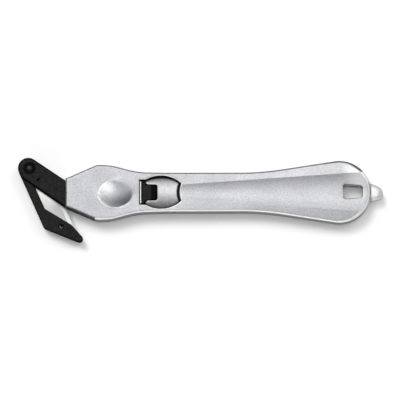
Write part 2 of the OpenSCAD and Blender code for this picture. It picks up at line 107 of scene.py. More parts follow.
def evenPath(corners):
    # a closed path through corners below the axis and the same ones above it
    return roundedPath(corners + [(x, -y, r) for x, y, r in reversed(corners)])


def mirrorPath(upper):
    # a path from the axis to the axis above y = 0, closed by its mirror image
    return list(upper) + [(x, -y) for x, y in reversed(upper)]


def tidyLoop(points, spacing=0.8, hole=False):
    # even spacing on long edges, anticlockwise, or clockwise round a hole
    kept = [points[0]]
    for p in points[1:]:
        if math.dist(p, kept[-1]) > samePoint:
            kept.append(p)
    if math.dist(kept[0], kept[-1]) < samePoint:
        kept.pop()
    loop = []
    for p, q in zip(kept, kept[1:] + kept[:1]):
        cuts = max(1, math.ceil(math.dist(p, q) / spacing))
        loop += [(p[0] + (q[0] - p[0]) * k / cuts, p[1] + (q[1] - p[1]) * k / cuts) for k in range(cuts)]
    loop = np.array(loop)
    ahead = np.roll(loop, -1, 0)
    area = (loop[:, 0] * ahead[:, 1] - ahead[:, 0] * loop[:, 1]).sum()
    return loop[::-1].copy() if (area < 0) != hole else loop


def boxLoop(x0, x1, half, r=0.15):
    return [tidyLoop(evenPath([(x0, -half, r), (x1, -half, r)]), 3.0)]


def inwardNormals(loop, leastCosine=0.6):
    # at a corner the normal is longer, so that both its edges move in alike
    ahead = np.roll(loop, -1, 0) - loop
    ahead /= np.linalg.norm(ahead, axis=1)[:, None]
    along = ahead + np.roll(ahead, 1, 0)
    left = np.stack([-along[:, 1], along[:, 0]], 1)
    left /= np.linalg.norm(left, axis=1)[:, None]
    leftAhead = np.stack([-ahead[:, 1], ahead[:, 0]], 1)
    return left / np.clip((left * leftAhead).sum(1), leastCosine, 1)[:, None]


def inBatches(points, test, size=1500):
    # the test's answers, found for a part of the points at a time
    parts = [test(points[start:start + size]) for start in range(0, len(points), size)]
    return np.concatenate([np.zeros(0, bool)] + parts)


def insideLoops(points, loops):
    def isInside(part):
        px, py = part[:, 0:1], part[:, 1:2]
        hit = np.zeros(len(part), bool)
        for a in loops:
            b = np.roll(a, -1, 0)
            rise = np.where(b[:, 1] == a[:, 1], 1e-9, b[:, 1] - a[:, 1])
            xAt = (b[:, 0] - a[:, 0]) * (py - a[:, 1]) / rise + a[:, 0]
            crosses = ((a[:, 1] > py) != (b[:, 1] > py)) & (px < xAt)
            hit ^= crosses.sum(1) % 2 == 1
        return hit
    return inBatches(points, isInside)


def farFrom(points, others, gap):
    return inBatches(points, lambda part: ((part[:, None] - others) ** 2).sum(2).min(1) > gap * gap)


# Solids from plan outlines

def addVerts(verts, points):
    verts.extend(points)
    return list(range(len(verts) - len(points), len(verts)))


def ringFaces(low, high):
    n = len(low)
    return [(low[i], low[(i + 1) % n], high[(i + 1) % n], high[i]) for i in range(n)]


def shapedFace(body, loops, radii, height, up=1, grid=None, lines=(), steps=5, fine=None):
    # one face over the loops, with its edges rounded over and its surface on height(x, y);
    # grid is the spacing of the points inside, fine a closer one with its area
    verts, faces = body
    rims, inner = [], []
    for loop, radius in zip(loops, radii):
        normals = inwardNormals(loop)
        r = radius(loop) if callable(radius) else np.full(len(loop), float(radius))
        rings = []
        for k in range(steps + 1):
            a = math.pi / 2 * k / steps
            ring = loop + normals * (r * (1 - math.cos(a)))[:, None]
            z = height(ring[:, 0], ring[:, 1]) - up * r * (1 - math.sin(a))
            rings.append(addVerts(verts, np.column_stack([ring, z]).tolist()))
        for low, high in zip(rings, rings[1:]):
            faces.extend(ringFaces(low, high))
        rims.append(rings[0])
        inner.append((rings[-1], ring))
    ids = [i for ring, _ in inner for i in ring]
    outlines = [ring for _, ring in inner]
    border = points = np.vstack(outlines)
    edges, start = [], 0
    for n in map(len, outlines):
        edges += [(start + i, start + (i + 1) % n) for i in range(n)]
        start += n
    for line in lines:
        line = np.array(line)
        keep = insideLoops(line, outlines) & farFrom(line, border, cornerStep)
        index = np.full(len(line), -1)
        index[keep] = len(points) + np.arange(keep.sum())
        points = np.vstack([points, line[keep]])
        edges += [(int(a), int(b)) for a, b in zip(index, index[1:]) if a >= 0 and b >= 0]
    rowShare, clearShare = 0.87, 0.6  # of the spacing
    for spacing, area in (fine or (None, None), (grid, None)):
        if spacing is None:
            continue
        lo, hi = area or (points.min(0), points.max(0))
        xs = np.arange(lo[0] + spacing / 2, hi[0], spacing)
        ys = np.arange(lo[1] + spacing / 2, hi[1], spacing * rowShare)
        gx, gy = np.meshgrid(xs, ys)
        gx = gx + (np.arange(len(ys)) % 2)[:, None] * spacing / 2
        field = np.column_stack([gx.ravel(), gy.ravel()])
        field = field[insideLoops(field, outlines)]
        points = np.vstack([points, field[farFrom(field, points, spacing * clearShare)]])
    flat, _, triangles, source, _, _ = delaunay_2d_cdt([Vector(p) for p in points], edges, [], 0, 1e-6)
    flat = np.array([tuple(p) for p in flat])
    z = height(flat[:, 0], flat[:, 1])
    where = []
    for k, origin in enumerate(source):
        match = [s for s in origin if s < len(ids)]
        where += [ids[match[0]]] if match else addVerts(verts, [(flat[k, 0], flat[k, 1], float(z[k]))])
    centres = np.array([flat[list(t)].mean(0) for t in triangles])
    for t, keep in zip(triangles, insideLoops(centres, outlines)):
        if keep:
            faces.append(tuple(where[i] for i in t))
    return rims


def wallBetween(body, high, low, lip=0.12):
    # a wall with a narrow band along each end, which keeps the shading of the edges apart
    verts, faces = body
    rows = [high]
    for ring, rise in ((high, -lip), (low, lip)):
        rows.append(addVerts(verts, [(verts[i][0], verts[i][1], verts[i][2] + rise) for i in ring]))
    rows.append(low)
    for a, b in zip(rows, rows[1:]):
        faces.extend(ringFaces(b, a))


def addObject(name, data):
    obj = bpy.data.objects.new(name, data)
    bpy.context.scene.collection.objects.link(obj)
    return obj


def finishMesh(obj, angle=32):
    bm = bmesh.new()
    bm.from_mesh(obj.data)
    bmesh.ops.remove_doubles(bm, verts=bm.verts, dist=2e-6)
    bmesh.ops.dissolve_degenerate(bm, dist=1e-6, edges=bm.edges)
    bmesh.ops.recalc_face_normals(bm, faces=bm.faces)
    bm.to_mesh(obj.data)
    bm.free()
    obj.data.shade_smooth()
    obj.data.set_sharp_from_angle(angle=math.radians(angle))


def toObject(name, verts, faces):
    mesh = bpy.data.meshes.new(name)
    mesh.from_pydata((np.array(verts, float) * mm).tolist(), [], faces)
    mesh.validate()
    obj = addObject(name, mesh)
    finishMesh(obj)
    return obj


def flatAt(level):
    return lambda x, y: np.full(len(x), float(level))


def slab(name, loops, bottom, top, topR=0.2, bottomR=0.2, height=None, grid=None, steps=4, lines=()):
    # a plate with rounded edges over an outline and its holes
    body = ([], [])
    high = shapedFace(body, loops, [topR] * len(loops), height or flatAt(top), 1, grid, lines, steps)
    low = shapedFace(body, loops, [bottomR] * len(loops), flatAt(bottom), -1, steps=2)
    for a, b in zip(high, low):
        wallBetween(body, a, b, min(0.12, (top - bottom) / 8))
    return toObject(name, *body)


def latheMesh(name, profile, at, segments=48):
    # profile points (radius, height) turned about a vertical axis
    verts, faces, rows = [], [], []
    for r, z in profile:
        rows.append(addVerts(verts, [(x, y, z) for x, y in circle(*at, r, segments if r else 1)]))
    for a, b in zip(rows, rows[1:]):
        if len(a) == 1:
            faces += [(a[0], b[(i + 1) % segments], b[i]) for i in range(segments)]
        elif len(b) == 1:
            faces += [(a[i], a[(i + 1) % segments], b[0]) for i in range(segments)]
        else:
            faces += ringFaces(a, b)
    return toObject(name, verts, faces)


def evenLathe(name, upper, at):
    # a turned piece with the same end at the front and at the back
    return latheMesh(name, [(r, 2 * midZ - z) for r, z in reversed(upper)] + upper, at)


def loftMesh(name, sections, closed=False):
    # sections of equal length, joined in order, and capped or led round to the first
    n = len(sections[0])
    rows = [range(i * n, i * n + n) for i in range(len(sections))]
    faces = [] if closed else [tuple(rows[0]), tuple(rows[-1])]
    for low, high in zip(rows, rows[1:] + (rows[:1] if closed else [])):
        faces += ringFaces(low, high)
    return toObject(name, [p for section in sections for p in section], faces)


def prismY(name, outline, half, edge=0.12):
    # an outline in the XZ plane run across the handle, with its end edges eased
    loop = tidyLoop(outline, 2.0)
    normals = inwardNormals(loop)
    ends = ((-half, edge), (-half + edge, 0), (half - edge, 0), (half, edge))
    return loftMesh(name, [[(x, y, z) for x, z in loop + normals * pull] for y, pull in ends])


def carve(target, *cutters, operation="DIFFERENCE"):
    for cutter in cutters:
        mod = target.modifiers.new("cut", "BOOLEAN")
        mod.operation = operation
        mod.solver = "EXACT"
        mod.object = cutter
        bpy.context.view_layer.update()
        done = bpy.data.meshes.new_from_object(target.evaluated_get(bpy.context.evaluated_depsgraph_get()))
        target.modifiers.clear()
        spent = [target.data, cutter.data]
        target.data = done
        bpy.data.objects.remove(cutter)
        for mesh in spent:
            bpy.data.meshes.remove(mesh)
        finishMesh(target)


def join(target, *parts):
    carve(target, *parts, operation="UNION")


def cutSlab(loops, low, high):
    return slab("cutter", loops, low, high, 0.0, 0.0, steps=1)


def cutBox(x0, x1, half, low, high, r=0.15):
    return cutSlab(boxLoop(x0, x1, half, r), low, high)


def cutRound(at, profile):
    return latheMesh("cutter", profile, at)


def cutBore(at, r, low, high):
    return cutRound(at, [(0, low), (r, low), (r, high), (0, high)])


def cutRing(at, r, width, low, high):
    # a round groove of this width
    band = [(r - width / 2, low), (r + width / 2, low), (r + width / 2, high), (r - width / 2, high)]
    turns = np.linspace(0, 2 * math.pi, 32, endpoint=False)
    return loftMesh("cutter", [[(at[0] + q * math.cos(a), at[1] + q * math.sin(a), z) for q, z in band]
                               for a in turns], closed=True)


def sortFaces(obj, finishOf):
    # each face gets the number of its finish, from its centre in millimetres and its normal
    for face in obj.data.polygons:
        face.material_index = int(finishOf(*(face.center / mm), *face.normal))


# Handle casting
casting = dict(
    thickness=10.0, mouthX=-43.2, mouthHalf=6.3, shoulderX=-26.0, shoulderHalf=12.45, cornerX=-30.0,
    cornerHalf=12.108, waistHalf=8.8, flareStart=36.0, flareL=20.0, flareSlope=0.155,
    sideStations=[(-17, 10.825, -0.29), (-7, 9.05, -0.035), (8, 8.83, 0)],  # x, half width, slope
    tailX=80.8, tailR=14.1, edgeR=0.8, mouthEdgeR=0.5, tailEdgeR=1.3, tailEdgeX=82, tailEdgeL=8,
    mouthCornerR=0.45, mouthRim=0.74, mouthEdgeL=2, grid=0.8, loopStep=0.8, holeStep=0.5,
    fluteDepth=1.1, fluteNear=0.28, fluteFade=6, stripFall=0.9, stripFade=50, frontFluteX=-2.0, backFluteX=8.4,
    ridgeNear=3.3, ridgeFar=8.2, ridgeSoft=0.16, ridgeEnd=95, ridgeStep=0.7,
    domeX=-20.6, domeY=-0.5, domeL=15.2, domeW=12.4, domeH=1.6, domeGrid=0.42, domeArea=(8.6, 7.2), domeReach=9.0,
    domeFoot=0.7, domeSoft=0.45, domeSink=0.35, domeUnder=0.002, domeLean=(-1.0, 0.8), domeCrispAngle=312.0,
    domeLip=(-0.42, -0.02), domeLipSpan=(190, 325), domeLipTurn=(150, 360, 3.0),
    windowSideR=13.4, windowHalf=7.55, windowBackX=18.4, windowBackR=10.0, windowCornerR=0.5, windowJoinX=-7,
    slotX=-9.9, slotHalf=5.75, slotCornerR=0.35, slotJoinR=0.7, windowEdgeR=0.6, slotEdgeR=0.25, slotEdgeX=-8.6,
    windowFloor=4.8, wellFloor=3.2, wellTop=5.2, wellX=-7.28, wellGap=0.02, wellCornerR=0.5, heelX=6.7,
    socket=(-44.5, -6.2, 5.25, 2.3, 7.7), splitterSlot=(93.4, 96.5, 4.32, 2.1, 7.9, 0.3),
    springX=1.3, springFloor=2.2, springBoreR=1.9, springBoreTop=4.5, pinX=6.0, pinZ=6.4, pinR=0.8, pinReach=11,
    holeFront=82.4, holeBack=91.3, holeFrontHalf=3.25, holeBackHalf=2.6, holeCornerR=1.3, holeBackR=1.65,
    holeEdgeR=0.45,
)
c = casting
domeX, domeY = c["domeX"], c["domeY"]


def hermite(a, b, t):
    # between two stations (place, value, slope)
    length = b[0] - a[0]
    return ((2 * t ** 3 - 3 * t ** 2 + 1) * a[1] + (t ** 3 - 2 * t ** 2 + t) * length * a[2]
            + (3 * t ** 2 - 2 * t ** 3) * b[1] + (t ** 3 - t ** 2) * length * b[2])


def castingPath():
    tangent = math.degrees(math.atan(c["flareSlope"]))
    joinX = c["tailX"] - c["tailR"] * math.sin(math.radians(tangent))
    joinHalf = c["tailR"] * math.cos(math.radians(tangent))
    slope = (c["cornerHalf"] - c["mouthHalf"]) / (c["cornerX"] - c["mouthX"])
    flareHalf = joinHalf - (joinX - c["flareStart"] - c["flareL"]) * c["flareSlope"]
    stations = [
        (c["mouthX"], c["mouthHalf"], slope), (c["cornerX"], c["cornerHalf"], slope),
        (c["shoulderX"], c["shoulderHalf"], 0), *c["sideStations"], (c["flareStart"], c["waistHalf"], 0),
        (c["flareStart"] + c["flareL"], flareHalf, c["flareSlope"]), (joinX, joinHalf, c["flareSlope"])]
    side = []
    for a, b in zip(stations, stations[1:]):
        count = math.ceil((b[0] - a[0]) / 0.6)
        side += [(a[0] + (b[0] - a[0]) * k / count, hermite(a, b, k / count)) for k in range(count)]
    tail = arcPoints((c["tailX"], 0), c["tailR"], 90 + tangent, 0, arcStep)
    corner = cornerArc((c["mouthX"], 0), side[0], side[3], c["mouthCornerR"])
    return mirrorPath([(c["mouthX"], 0)] + corner + side[2:] + tail)


def ridgeAt(x):
    slope = (c["ridgeFar"] - c["ridgeNear"]) / (c["tailX"] - c["backFluteX"])
    return c["ridgeNear"] + slope * np.maximum(0, x - c["backFluteX"])


def faceDrop(x, y, start):
    # depth of the flute between the ridges, and of the sloped strips beside them
    r, ay, fade = ridgeAt(x), np.abs(y), c["fluteFade"]
    share = smoothStep((x - start) / fade) * (
        c["fluteNear"] + (1 - c["fluteNear"]) * (x - start) / (c["tailX"] - start))
    flute = c["fluteDepth"] * np.where(x < start, 0, share) * (1 - (ay / r) ** 2)
    strip = c["stripFall"] * smoothStep((x - start - fade) / c["stripFade"]) * (ay - r) / (c["tailR"] - r)
    return np.where(ay < r, flute, strip)


def spindleLift(x, y):
    # height of the thumb dome's spindle over the flat, below nought outside it
    girth = ((c["domeW"] / 2) ** 2 + c["domeH"] ** 2) / (2 * c["domeH"])
    length = ((c["domeL"] / 2) ** 2 + c["domeH"] ** 2) / (2 * c["domeH"])
    radius = girth - length + np.sqrt(np.maximum(length ** 2 - (x - domeX) ** 2, 0))
    lift = c["domeH"] - girth + np.sqrt(np.maximum(radius ** 2 - (y - domeY) ** 2, 0))
    return np.where(np.abs(x - domeX) > length * 0.9, -9, lift)


def domeLift(x, y):
    # the crown leans to the lower right; the foot is soft on the upper right and the lower left
    over = np.clip(spindleLift(x, y) / c["domeH"], 0, 1)
    lift = spindleLift(x + c["domeLean"][0] * over, y + c["domeLean"][1] * over)
    turn = np.arctan2(y - domeY, x - domeX) - math.radians(c["domeCrispAngle"])
    foot = c["domeFoot"] * (1 - smoothStep((np.abs(np.cos(turn)) - c["domeSoft"]) / c["domeSoft"]))
    lift = lift - c["domeSink"] * foot * (1 - over)
    soft = (lift + np.sqrt(lift ** 2 + foot ** 2)) / (c["domeH"] + np.sqrt(c["domeH"] ** 2 + foot ** 2))
    return (c["domeH"] - c["domeUnder"]) * np.minimum(soft, 1)


def domeRing(level):
    # line round the dome where the spindle stands this high
    ring = []
    for a in np.radians(np.arange(*c["domeLipTurn"])):
        near, far = 1.0, c["domeReach"]
        for _ in range(30):
            r = (near + far) / 2
            over = spindleLift(domeX + r * math.cos(a), domeY + r * math.sin(a)) > level
            near, far = (r, far) if over else (near, r)
        ring.append((domeX + near * math.cos(a), domeY + near * math.sin(a)))
    return np.array(ring)


def frontHeight(x, y):
    nearDome = np.abs(x - domeX) < c["domeReach"] + 1
    return c["thickness"] - faceDrop(x, y, c["frontFluteX"]) + np.where(nearDome, domeLift(x, y), 0)


def backHeight(x, y):
    return faceDrop(x, y, c["backFluteX"])


def barrelPath(inset, backInset, frontX, cornerR):
    # upper half of the barrel plan: its side arc, then the corner and the hollow back end
    low = np.array([0, c["windowHalf"] - c["windowSideR"]])
    sideR = c["windowSideR"] - inset
    back = np.array([c["windowBackX"], 0.0])
    backR = c["windowBackR"] + backInset
    # the corner's centre lies cornerR inside the side arc and outside the back circle
    r1, r2, gap = sideR - cornerR, backR + cornerR, back - low
    d = np.linalg.norm(gap)
    u = gap / d
    along = (r1 * r1 - r2 * r2 + d * d) / (2 * d)
    centre = low + u * along + leftOf(u) * math.sqrt(r1 * r1 - along * along)
    sideEnd = angleOf(centre - low)
    backStart = angleOf(centre - back)
    corner = arcPoints(centre, cornerR, sideEnd, backStart - 180, cornerStep)
    hollow = arcPoints(back, backR, backStart, 180, arcStep)
    frontAngle = 90 + math.degrees(math.asin(-frontX / sideR))
    return low, sideR, frontAngle, sideEnd, corner + hollow[1:]


def windowPath():
    low, sideR, _, sideEnd, rest = barrelPath(0, 0, c["windowJoinX"], c["windowCornerR"])
    joinR = c["slotJoinR"]
    cy = c["slotHalf"] + joinR
    cx = -math.sqrt((sideR + joinR) ** 2 - (cy - low[1]) ** 2)
    start = angleOf(np.array([cx, cy]) - low)
    turnOut = arcPoints((cx, cy), joinR, -90, start - 180, cornerStep)
    slot = cornerArc((c["slotX"], 0), (c["slotX"], c["slotHalf"]), (0, c["slotHalf"]), c["slotCornerR"])
    side = arcPoints(low, sideR, start, sideEnd, arcStep)
    return mirrorPath([(c["slotX"], 0)] + slot + turnOut + side[1:] + rest)


def wellPath():
    # the deeper room round the lever, up to its heel
    low, sideR, front, sideEnd, rest = barrelPath(c["wellGap"], c["wellGap"], c["wellX"], c["wellCornerR"])
    side = [p for p in arcPoints(low, sideR, front, sideEnd, arcStep) + rest if p[0] < c["heelX"]]
    return mirrorPath([(c["wellX"], 0)] + side + [(c["heelX"], 0)])


def holePath():
    return evenPath([(c["holeFront"], -c["holeFrontHalf"], c["holeCornerR"]),
                     (c["holeBack"], -c["holeBackHalf"], c["holeBackR"])])


def castingEdge(loop):
    # the mouth has the smaller radius, the tail the larger
    toMouth = smoothStep((loop[:, 0] - c["mouthX"] - 0.2) / c["mouthEdgeL"])
    toTail = smoothStep((loop[:, 0] - c["tailEdgeX"]) / c["tailEdgeL"])
    return c["mouthEdgeR"] + (c["edgeR"] - c["mouthEdgeR"]) * toMouth + (c["tailEdgeR"] - c["edgeR"]) * toTail


def windowEdge(loop):
    return c["slotEdgeR"] + (c["windowEdgeR"] - c["slotEdgeR"]) * smoothStep((loop[:, 0] - c["slotEdgeX"]) / 2)


def crossBore(r):
    # the bore of the lever's pin, right across the handle
    rod = cutBore((0, 0), r, -c["pinReach"], c["pinReach"])
    rod.data.transform(Matrix.Translation((c["pinX"] * mm, 0, c["pinZ"] * mm)) @ Matrix.Rotation(math.pi / 2, 4, "X"))
    return rod


def buildCasting():
    outer = tidyLoop(castingPath(), c["loopStep"])
    window = tidyLoop(windowPath(), c["holeStep"], hole=True)
    hole = tidyLoop(holePath(), c["holeStep"], hole=True)
    body = verts, faces = [], []
    xs = np.arange(c["frontFluteX"], c["ridgeEnd"], c["ridgeStep"])
    ridges = [np.column_stack([xs, side * (ridgeAt(xs) + shift)])
              for side in (-1, 1) for shift in (-c["ridgeSoft"], 0, c["ridgeSoft"])]
    mouthYs = np.arange(-c["mouthHalf"], c["mouthHalf"], 0.5)
    mouthLine = np.column_stack([np.full(len(mouthYs), c["mouthX"] + c["mouthRim"]), mouthYs])
    domeAt, domeHalf = np.array([domeX, domeY]), np.array(c["domeArea"])
    high = shapedFace(body, [outer, window, hole], [castingEdge, windowEdge, c["holeEdgeR"]], frontHeight, 1,
                      c["grid"], ridges + [mouthLine] + [domeRing(level) for level in c["domeLip"]], 6,
                      (c["domeGrid"], (domeAt - domeHalf, domeAt + domeHalf)))
    low = shapedFace(body, [outer, hole], [castingEdge, c["holeEdgeR"]], backHeight, -1, c["grid"],
                     [line[line[:, 0] > c["backFluteX"]] for line in ridges], 5)
    wallBetween(body, high[0], low[0])
    wallBetween(body, high[2], low[1])
    floor = addVerts(verts, [(verts[i][0], verts[i][1], c["windowFloor"]) for i in high[1]])
    wallBetween(body, high[1], floor)
    faces.append(tuple(floor))
    obj = toObject("HandleCasting", *body)
    print("handle casting:", len(obj.data.polygons), "faces")
    carve(obj, cutSlab([tidyLoop(wellPath(), 1.0)], c["wellFloor"], c["wellTop"]), cutBox(*c["socket"]),
          cutBore((c["springX"], 0), c["springBoreR"], c["springFloor"], c["springBoreTop"]),
          cutBox(*c["splitterSlot"]), crossBore(c["pinR"]))
    return obj


# Finishes of the casting, by a face's place and tilt (the z of its normal); some are painted light: painted shade in
# the window and along edges, painted highlights on rims and the dome
coat = dict(
    order=["face", "cavity", "skin", "rim", "shade", "thumb", "lip"],
    windowX=(-10.5, 9.7), windowHalf=7.95, windowLow=1, frontLow=8, domeFoot=0.03, holeMargin=1, mouthGap=0.3,
    tailX=80, tailEdge=1.4, jointHalf=4.5, jointWay=0.1, sideway=0.2, upperWay=0.3, tailUpperWay=0.7,
    wall=0.3, windowWall=0.35, flat=0.95, windowFlat=0.96, upperFlat=0.965, mouthFlat=0.93, tailFlat=0.9,
    tailEdgeFlat=0.985, jointFlat=0.75,
)


def castingFinish(x, y, z, nx, ny, nz):
    # painted shade inside the window, along the upper edges, at the mouth and on the hole's top edge; plain skin on
    # the sides; painted highlights on the other rims and the dome's lip
    k = coat
    if k["windowX"][0] < x < k["windowX"][1] and abs(y) < k["windowHalf"] and z > k["windowLow"]:
        # the window's inside gets painted shade (cavity), its edges a painted highlight (rim)
        inside = abs(nz) < k["windowWall"] or z < k["frontLow"]
        return "cavity" if inside else "rim" if nz < k["windowFlat"] else "face"
    if z > k["frontLow"] and math.hypot(x - domeX, y - domeY) < c["domeReach"]:
        # on the dome: the lip is a painted highlight line, and the crown (thumb) carries patches of painted highlight
        # and shade
        lift, turn = float(spindleLift(x, y)), angleOf((x - domeX, y - domeY)) % 360
        onLip = c["domeLip"][0] < lift < c["domeLip"][1] and c["domeLipSpan"][0] < turn < c["domeLipSpan"][1]
        return "lip" if onLip else "thumb" if lift > k["domeFoot"] else "face"
    margin = k["holeMargin"]
    if c["holeFront"] - margin < x < c["holeBack"] + margin and abs(y) < c["holeFrontHalf"] + margin:
        if nz >= k["flat"]:
            return "face"
        # round the hole: a painted shade line on its top edge, plain skin on the back and the other edges, painted
        # highlight (rim) on the rest of its wall
        onEdge = nz > k["wall"]
        plain = nz < -k["sideway"] or onEdge and ny > k["sideway"]
        return "shade" if onEdge and ny < -k["sideway"] else "skin" if plain else "rim"
    # painted shade on the lower-left slope from the mouth and on a strip along the mouth
    if c["mouthX"] + k["mouthGap"] < x < c["cornerX"] and ny < -k["sideway"] and nz < k["mouthFlat"]:
        return "shade"
    if x < c["mouthX"] + c["mouthRim"]:
        return "shade"
    if nz < k["wall"]:
        return "skin"
    onTail = x > k["tailX"]
    # a painted shade line along the upper edges
    if ny > k["tailUpperWay" if onTail else "upperWay"] * math.hypot(nx, ny):
        return "shade" if nz < k["upperFlat"] else "face"
    # painted highlights (rim) on the lower edges and round the tail
    if not onTail:
        return "rim" if nz < k["flat"] else "face"
    # skin, darker than the rim, as a painted shade line where the splitter leaves the tail
    if nz < k["jointFlat"] and nx > k["jointWay"] and abs(y) < k["jointHalf"]:
        return "skin"
    nearEdge = math.hypot(x - c["tailX"], y) > c["tailR"] - k["tailEdge"]
    return "rim" if nz < k["tailEdgeFlat" if nearEdge else "tailFlat"] else "face"


handle = buildCasting()
sortFaces(handle, lambda *place: coat["order"].index(castingFinish(*place)))
print("handle casting carved")

# Tape splitter: a rounded nose that stands out of the tail
splitter = dict(rootX=93.5, tipX=100.4, rootHalf=4.25, upperFall=2.6, lowerFall=1.2, endR=1.4, thickness=5.6,
                sideR=2.2, jointX=95.0, jointHalf=0.2, steps=30, cornerPoints=9, crowd=0.9, fallPower=1.5,
                tang=[(80, -6.2, 0.5), (94.2, -3.9, 0.5)], tangT=3.0, tangEdgeR=0.15)


def buildSplitter():
    s = splitter
    sections = []
    halfT, length = s["thickness"] / 2, s["tipX"] - s["rootX"]
    for k in range(s["steps"] + 1):
        x = s["rootX"] + length * math.sin(math.pi / 2 * k / s["steps"]) ** s["crowd"]
        toTip = s["tipX"] - x
        nose = min(1, max(0.02, 1 - toTip / halfT)) if toTip < halfT else 0
        h = halfT * math.sqrt(max(1 - nose ** 2, 0.003))
        share = ((x - s["rootX"]) / length) ** s["fallPower"]
        cap = s["endR"] * (1 - math.sqrt(max(1 - max(1 - toTip / s["endR"], 0) ** 2, 0)))
        high, low = (s["rootHalf"] - s[fall] * share - cap for fall in ("upperFall", "lowerFall"))
        r = min(s["sideR"], h * 0.98, high * 0.9, low * 0.9)
        corners = ((high - r, h - r), (r - low, h - r), (r - low, r - h), (high - r, r - h))
        sections.append([(x, cy + r * math.cos(a), midZ + cz + r * math.sin(a))
                         for quarter, (cy, cz) in enumerate(corners)
                         for a in np.radians(np.linspace(90 * quarter, 90 * quarter + 90, s["cornerPoints"]))])
    obj = loftMesh("TapeSplitter", sections)
    halfTang = s["tangT"] / 2
    join(obj, slab("tang", [tidyLoop(evenPath(s["tang"]), 2)], midZ - halfTang, midZ + halfTang,
                   s["tangEdgeR"], s["tangEdgeR"]))
    carve(obj, cutSlab([tidyLoop(holePath(), 0.6)], 0, c["thickness"]))
    return obj


tailSplitter = buildSplitter()
# a painted shade line where the nose leaves the casting
sortFaces(tailSplitter, lambda x, *rest: abs(x - splitter["jointX"]) < splitter["jointHalf"])
print("splitter")

# Release lever: barrel plan, crowned top, notch for the latch tongue
lever = dict(gap=0.45, backGap=1.15, crownR=11.5, top=9.2, under=4.9, prongUnder=6.0, prongX=-7.0,
             tipRelief=0.3, tipL=0.8, notchHalf=3.6, notchX=-1.7, notchR=1.0, tipR=0.55, innerR=0.8,
             innerL=0.9, innerWay=(-2, 2.9), cornerR=0.9, edgeR=0.5, underR=0.2, grid=0.6, cutHalf=8,
             cutLow=4, springSeat=5.9, springSeatR=1.7, pinR=0.85)


def leverPath():
    v = lever
    low, sideR, _, sideEnd, rest = barrelPath(v["gap"], v["backGap"], v["prongX"], v["cornerR"])
    tipX = v["prongX"] + v["tipR"]
    tipY = low[1] + math.sqrt((sideR - v["tipR"]) ** 2 - tipX ** 2)
    tipAngle = angleOf(np.array([tipX, tipY]) - low)
    notch = cornerArc((v["notchX"], 0), (v["notchX"], v["notchHalf"]), (v["prongX"], v["notchHalf"]), v["notchR"])
    inner = cornerArc((v["notchX"], v["notchHalf"]), (v["prongX"] + v["innerL"], v["notchHalf"]),
                      (v["prongX"] + v["innerWay"][0], v["notchHalf"] + v["innerWay"][1]), v["innerR"])
    tip = arcPoints((tipX, tipY), v["tipR"], 225, tipAngle, cornerStep)
    side = arcPoints(low, sideR, tipAngle, sideEnd, arcStep)
    return mirrorPath([(v["notchX"], 0)] + notch + inner + tip + side[1:] + rest)


def crownHeight(x, y):
    return lever["top"] - lever["crownR"] + np.sqrt(lever["crownR"] ** 2 - y ** 2)


def buildLever():
    v = lever
    obj = slab("ReleaseLever", [tidyLoop(leverPath(), 0.5)], v["under"], v["top"], v["edgeR"], v["underR"],
               crownHeight, v["grid"], 6)
    front, low, seat, boreR = v["prongX"] - 1, v["cutLow"], v["springSeat"], c["springBoreR"]
    springBore = [(0, low), (boreR, low), (boreR, seat - 0.2), (v["springSeatR"], seat), (0, seat)]
    carve(obj, cutBox(front, v["notchX"], v["cutHalf"], low, v["prongUnder"]),
          cutBox(front, v["prongX"] + v["tipL"], v["cutHalf"], low, v["prongUnder"] + v["tipRelief"]),
          cutRound((c["springX"], 0), springBore), crossBore(v["pinR"]))
    return obj


releaseLever = buildLever()
print("release lever")

# Blade head: plan of the arm, the leg and the guard, and where the blade and the pins lie
head = dict(armAngle=34.2, armT=7.0, hookT=4.0, armL=17.3, topAtMouth=5.65, lowAtMouth=6.65, legAngle=66.0,
            legL=28.0, legW=3.9, legInL=19.9, guardAngle=22.0, guardL=23.2, guardInAngle=31.3,
            guardInL=14.35, tipR=1.55, noseR=4.65, heelR=3.0, bendR=3.0, innerR=0.4, kneeL=2.85, kneeR=0.6,
            endR=0.3, endGap=0.1, hookRoot=[(0.9, 0.6), (1.6, 0.015)], rootL=13.3, armEdgeR=0.95,
            hookEdgeR=0.5, seatEdgeR=0.15, seatEdgeL=1.2, edgeFrom=0.93, seamR=0.1, dishR=2.5, dishDepth=0.5,
            dishFoot=0.12, dishLip=0.35, shankX=-44.6, shankEnd=-10.8, shankHalf=5.15, shankT=5.2,
            shankR=0.3, shankEdgeR=0.2, shankSeamR=0.05, forkX=-26.6, forkHalf=3.7, forkR=0.2, bedX=-6.5,
            bedZ=3.3, bedOverlap=0.4, bedEdgeR=0.1, grooveX=-27, grooveZ=6.7, grooveR=0.85, grooveHalf=3.4,
            rivetX=-35.2, rivetReach=1.8)
h = head
along = heading(-h["armAngle"])
across = leftOf(along)
noseAt = np.array([c["mouthX"], h["topAtMouth"]]) - along * h["armL"] - across * h["noseR"]
legAlong = heading(-h["legAngle"])
legSide = leftOf(legAlong)
legStart = noseAt - legSide * h["noseR"]


def legPoint(u, w):
    # a point this far down the leg and this far in from its outer side
    return legStart + legAlong * u + legSide * w


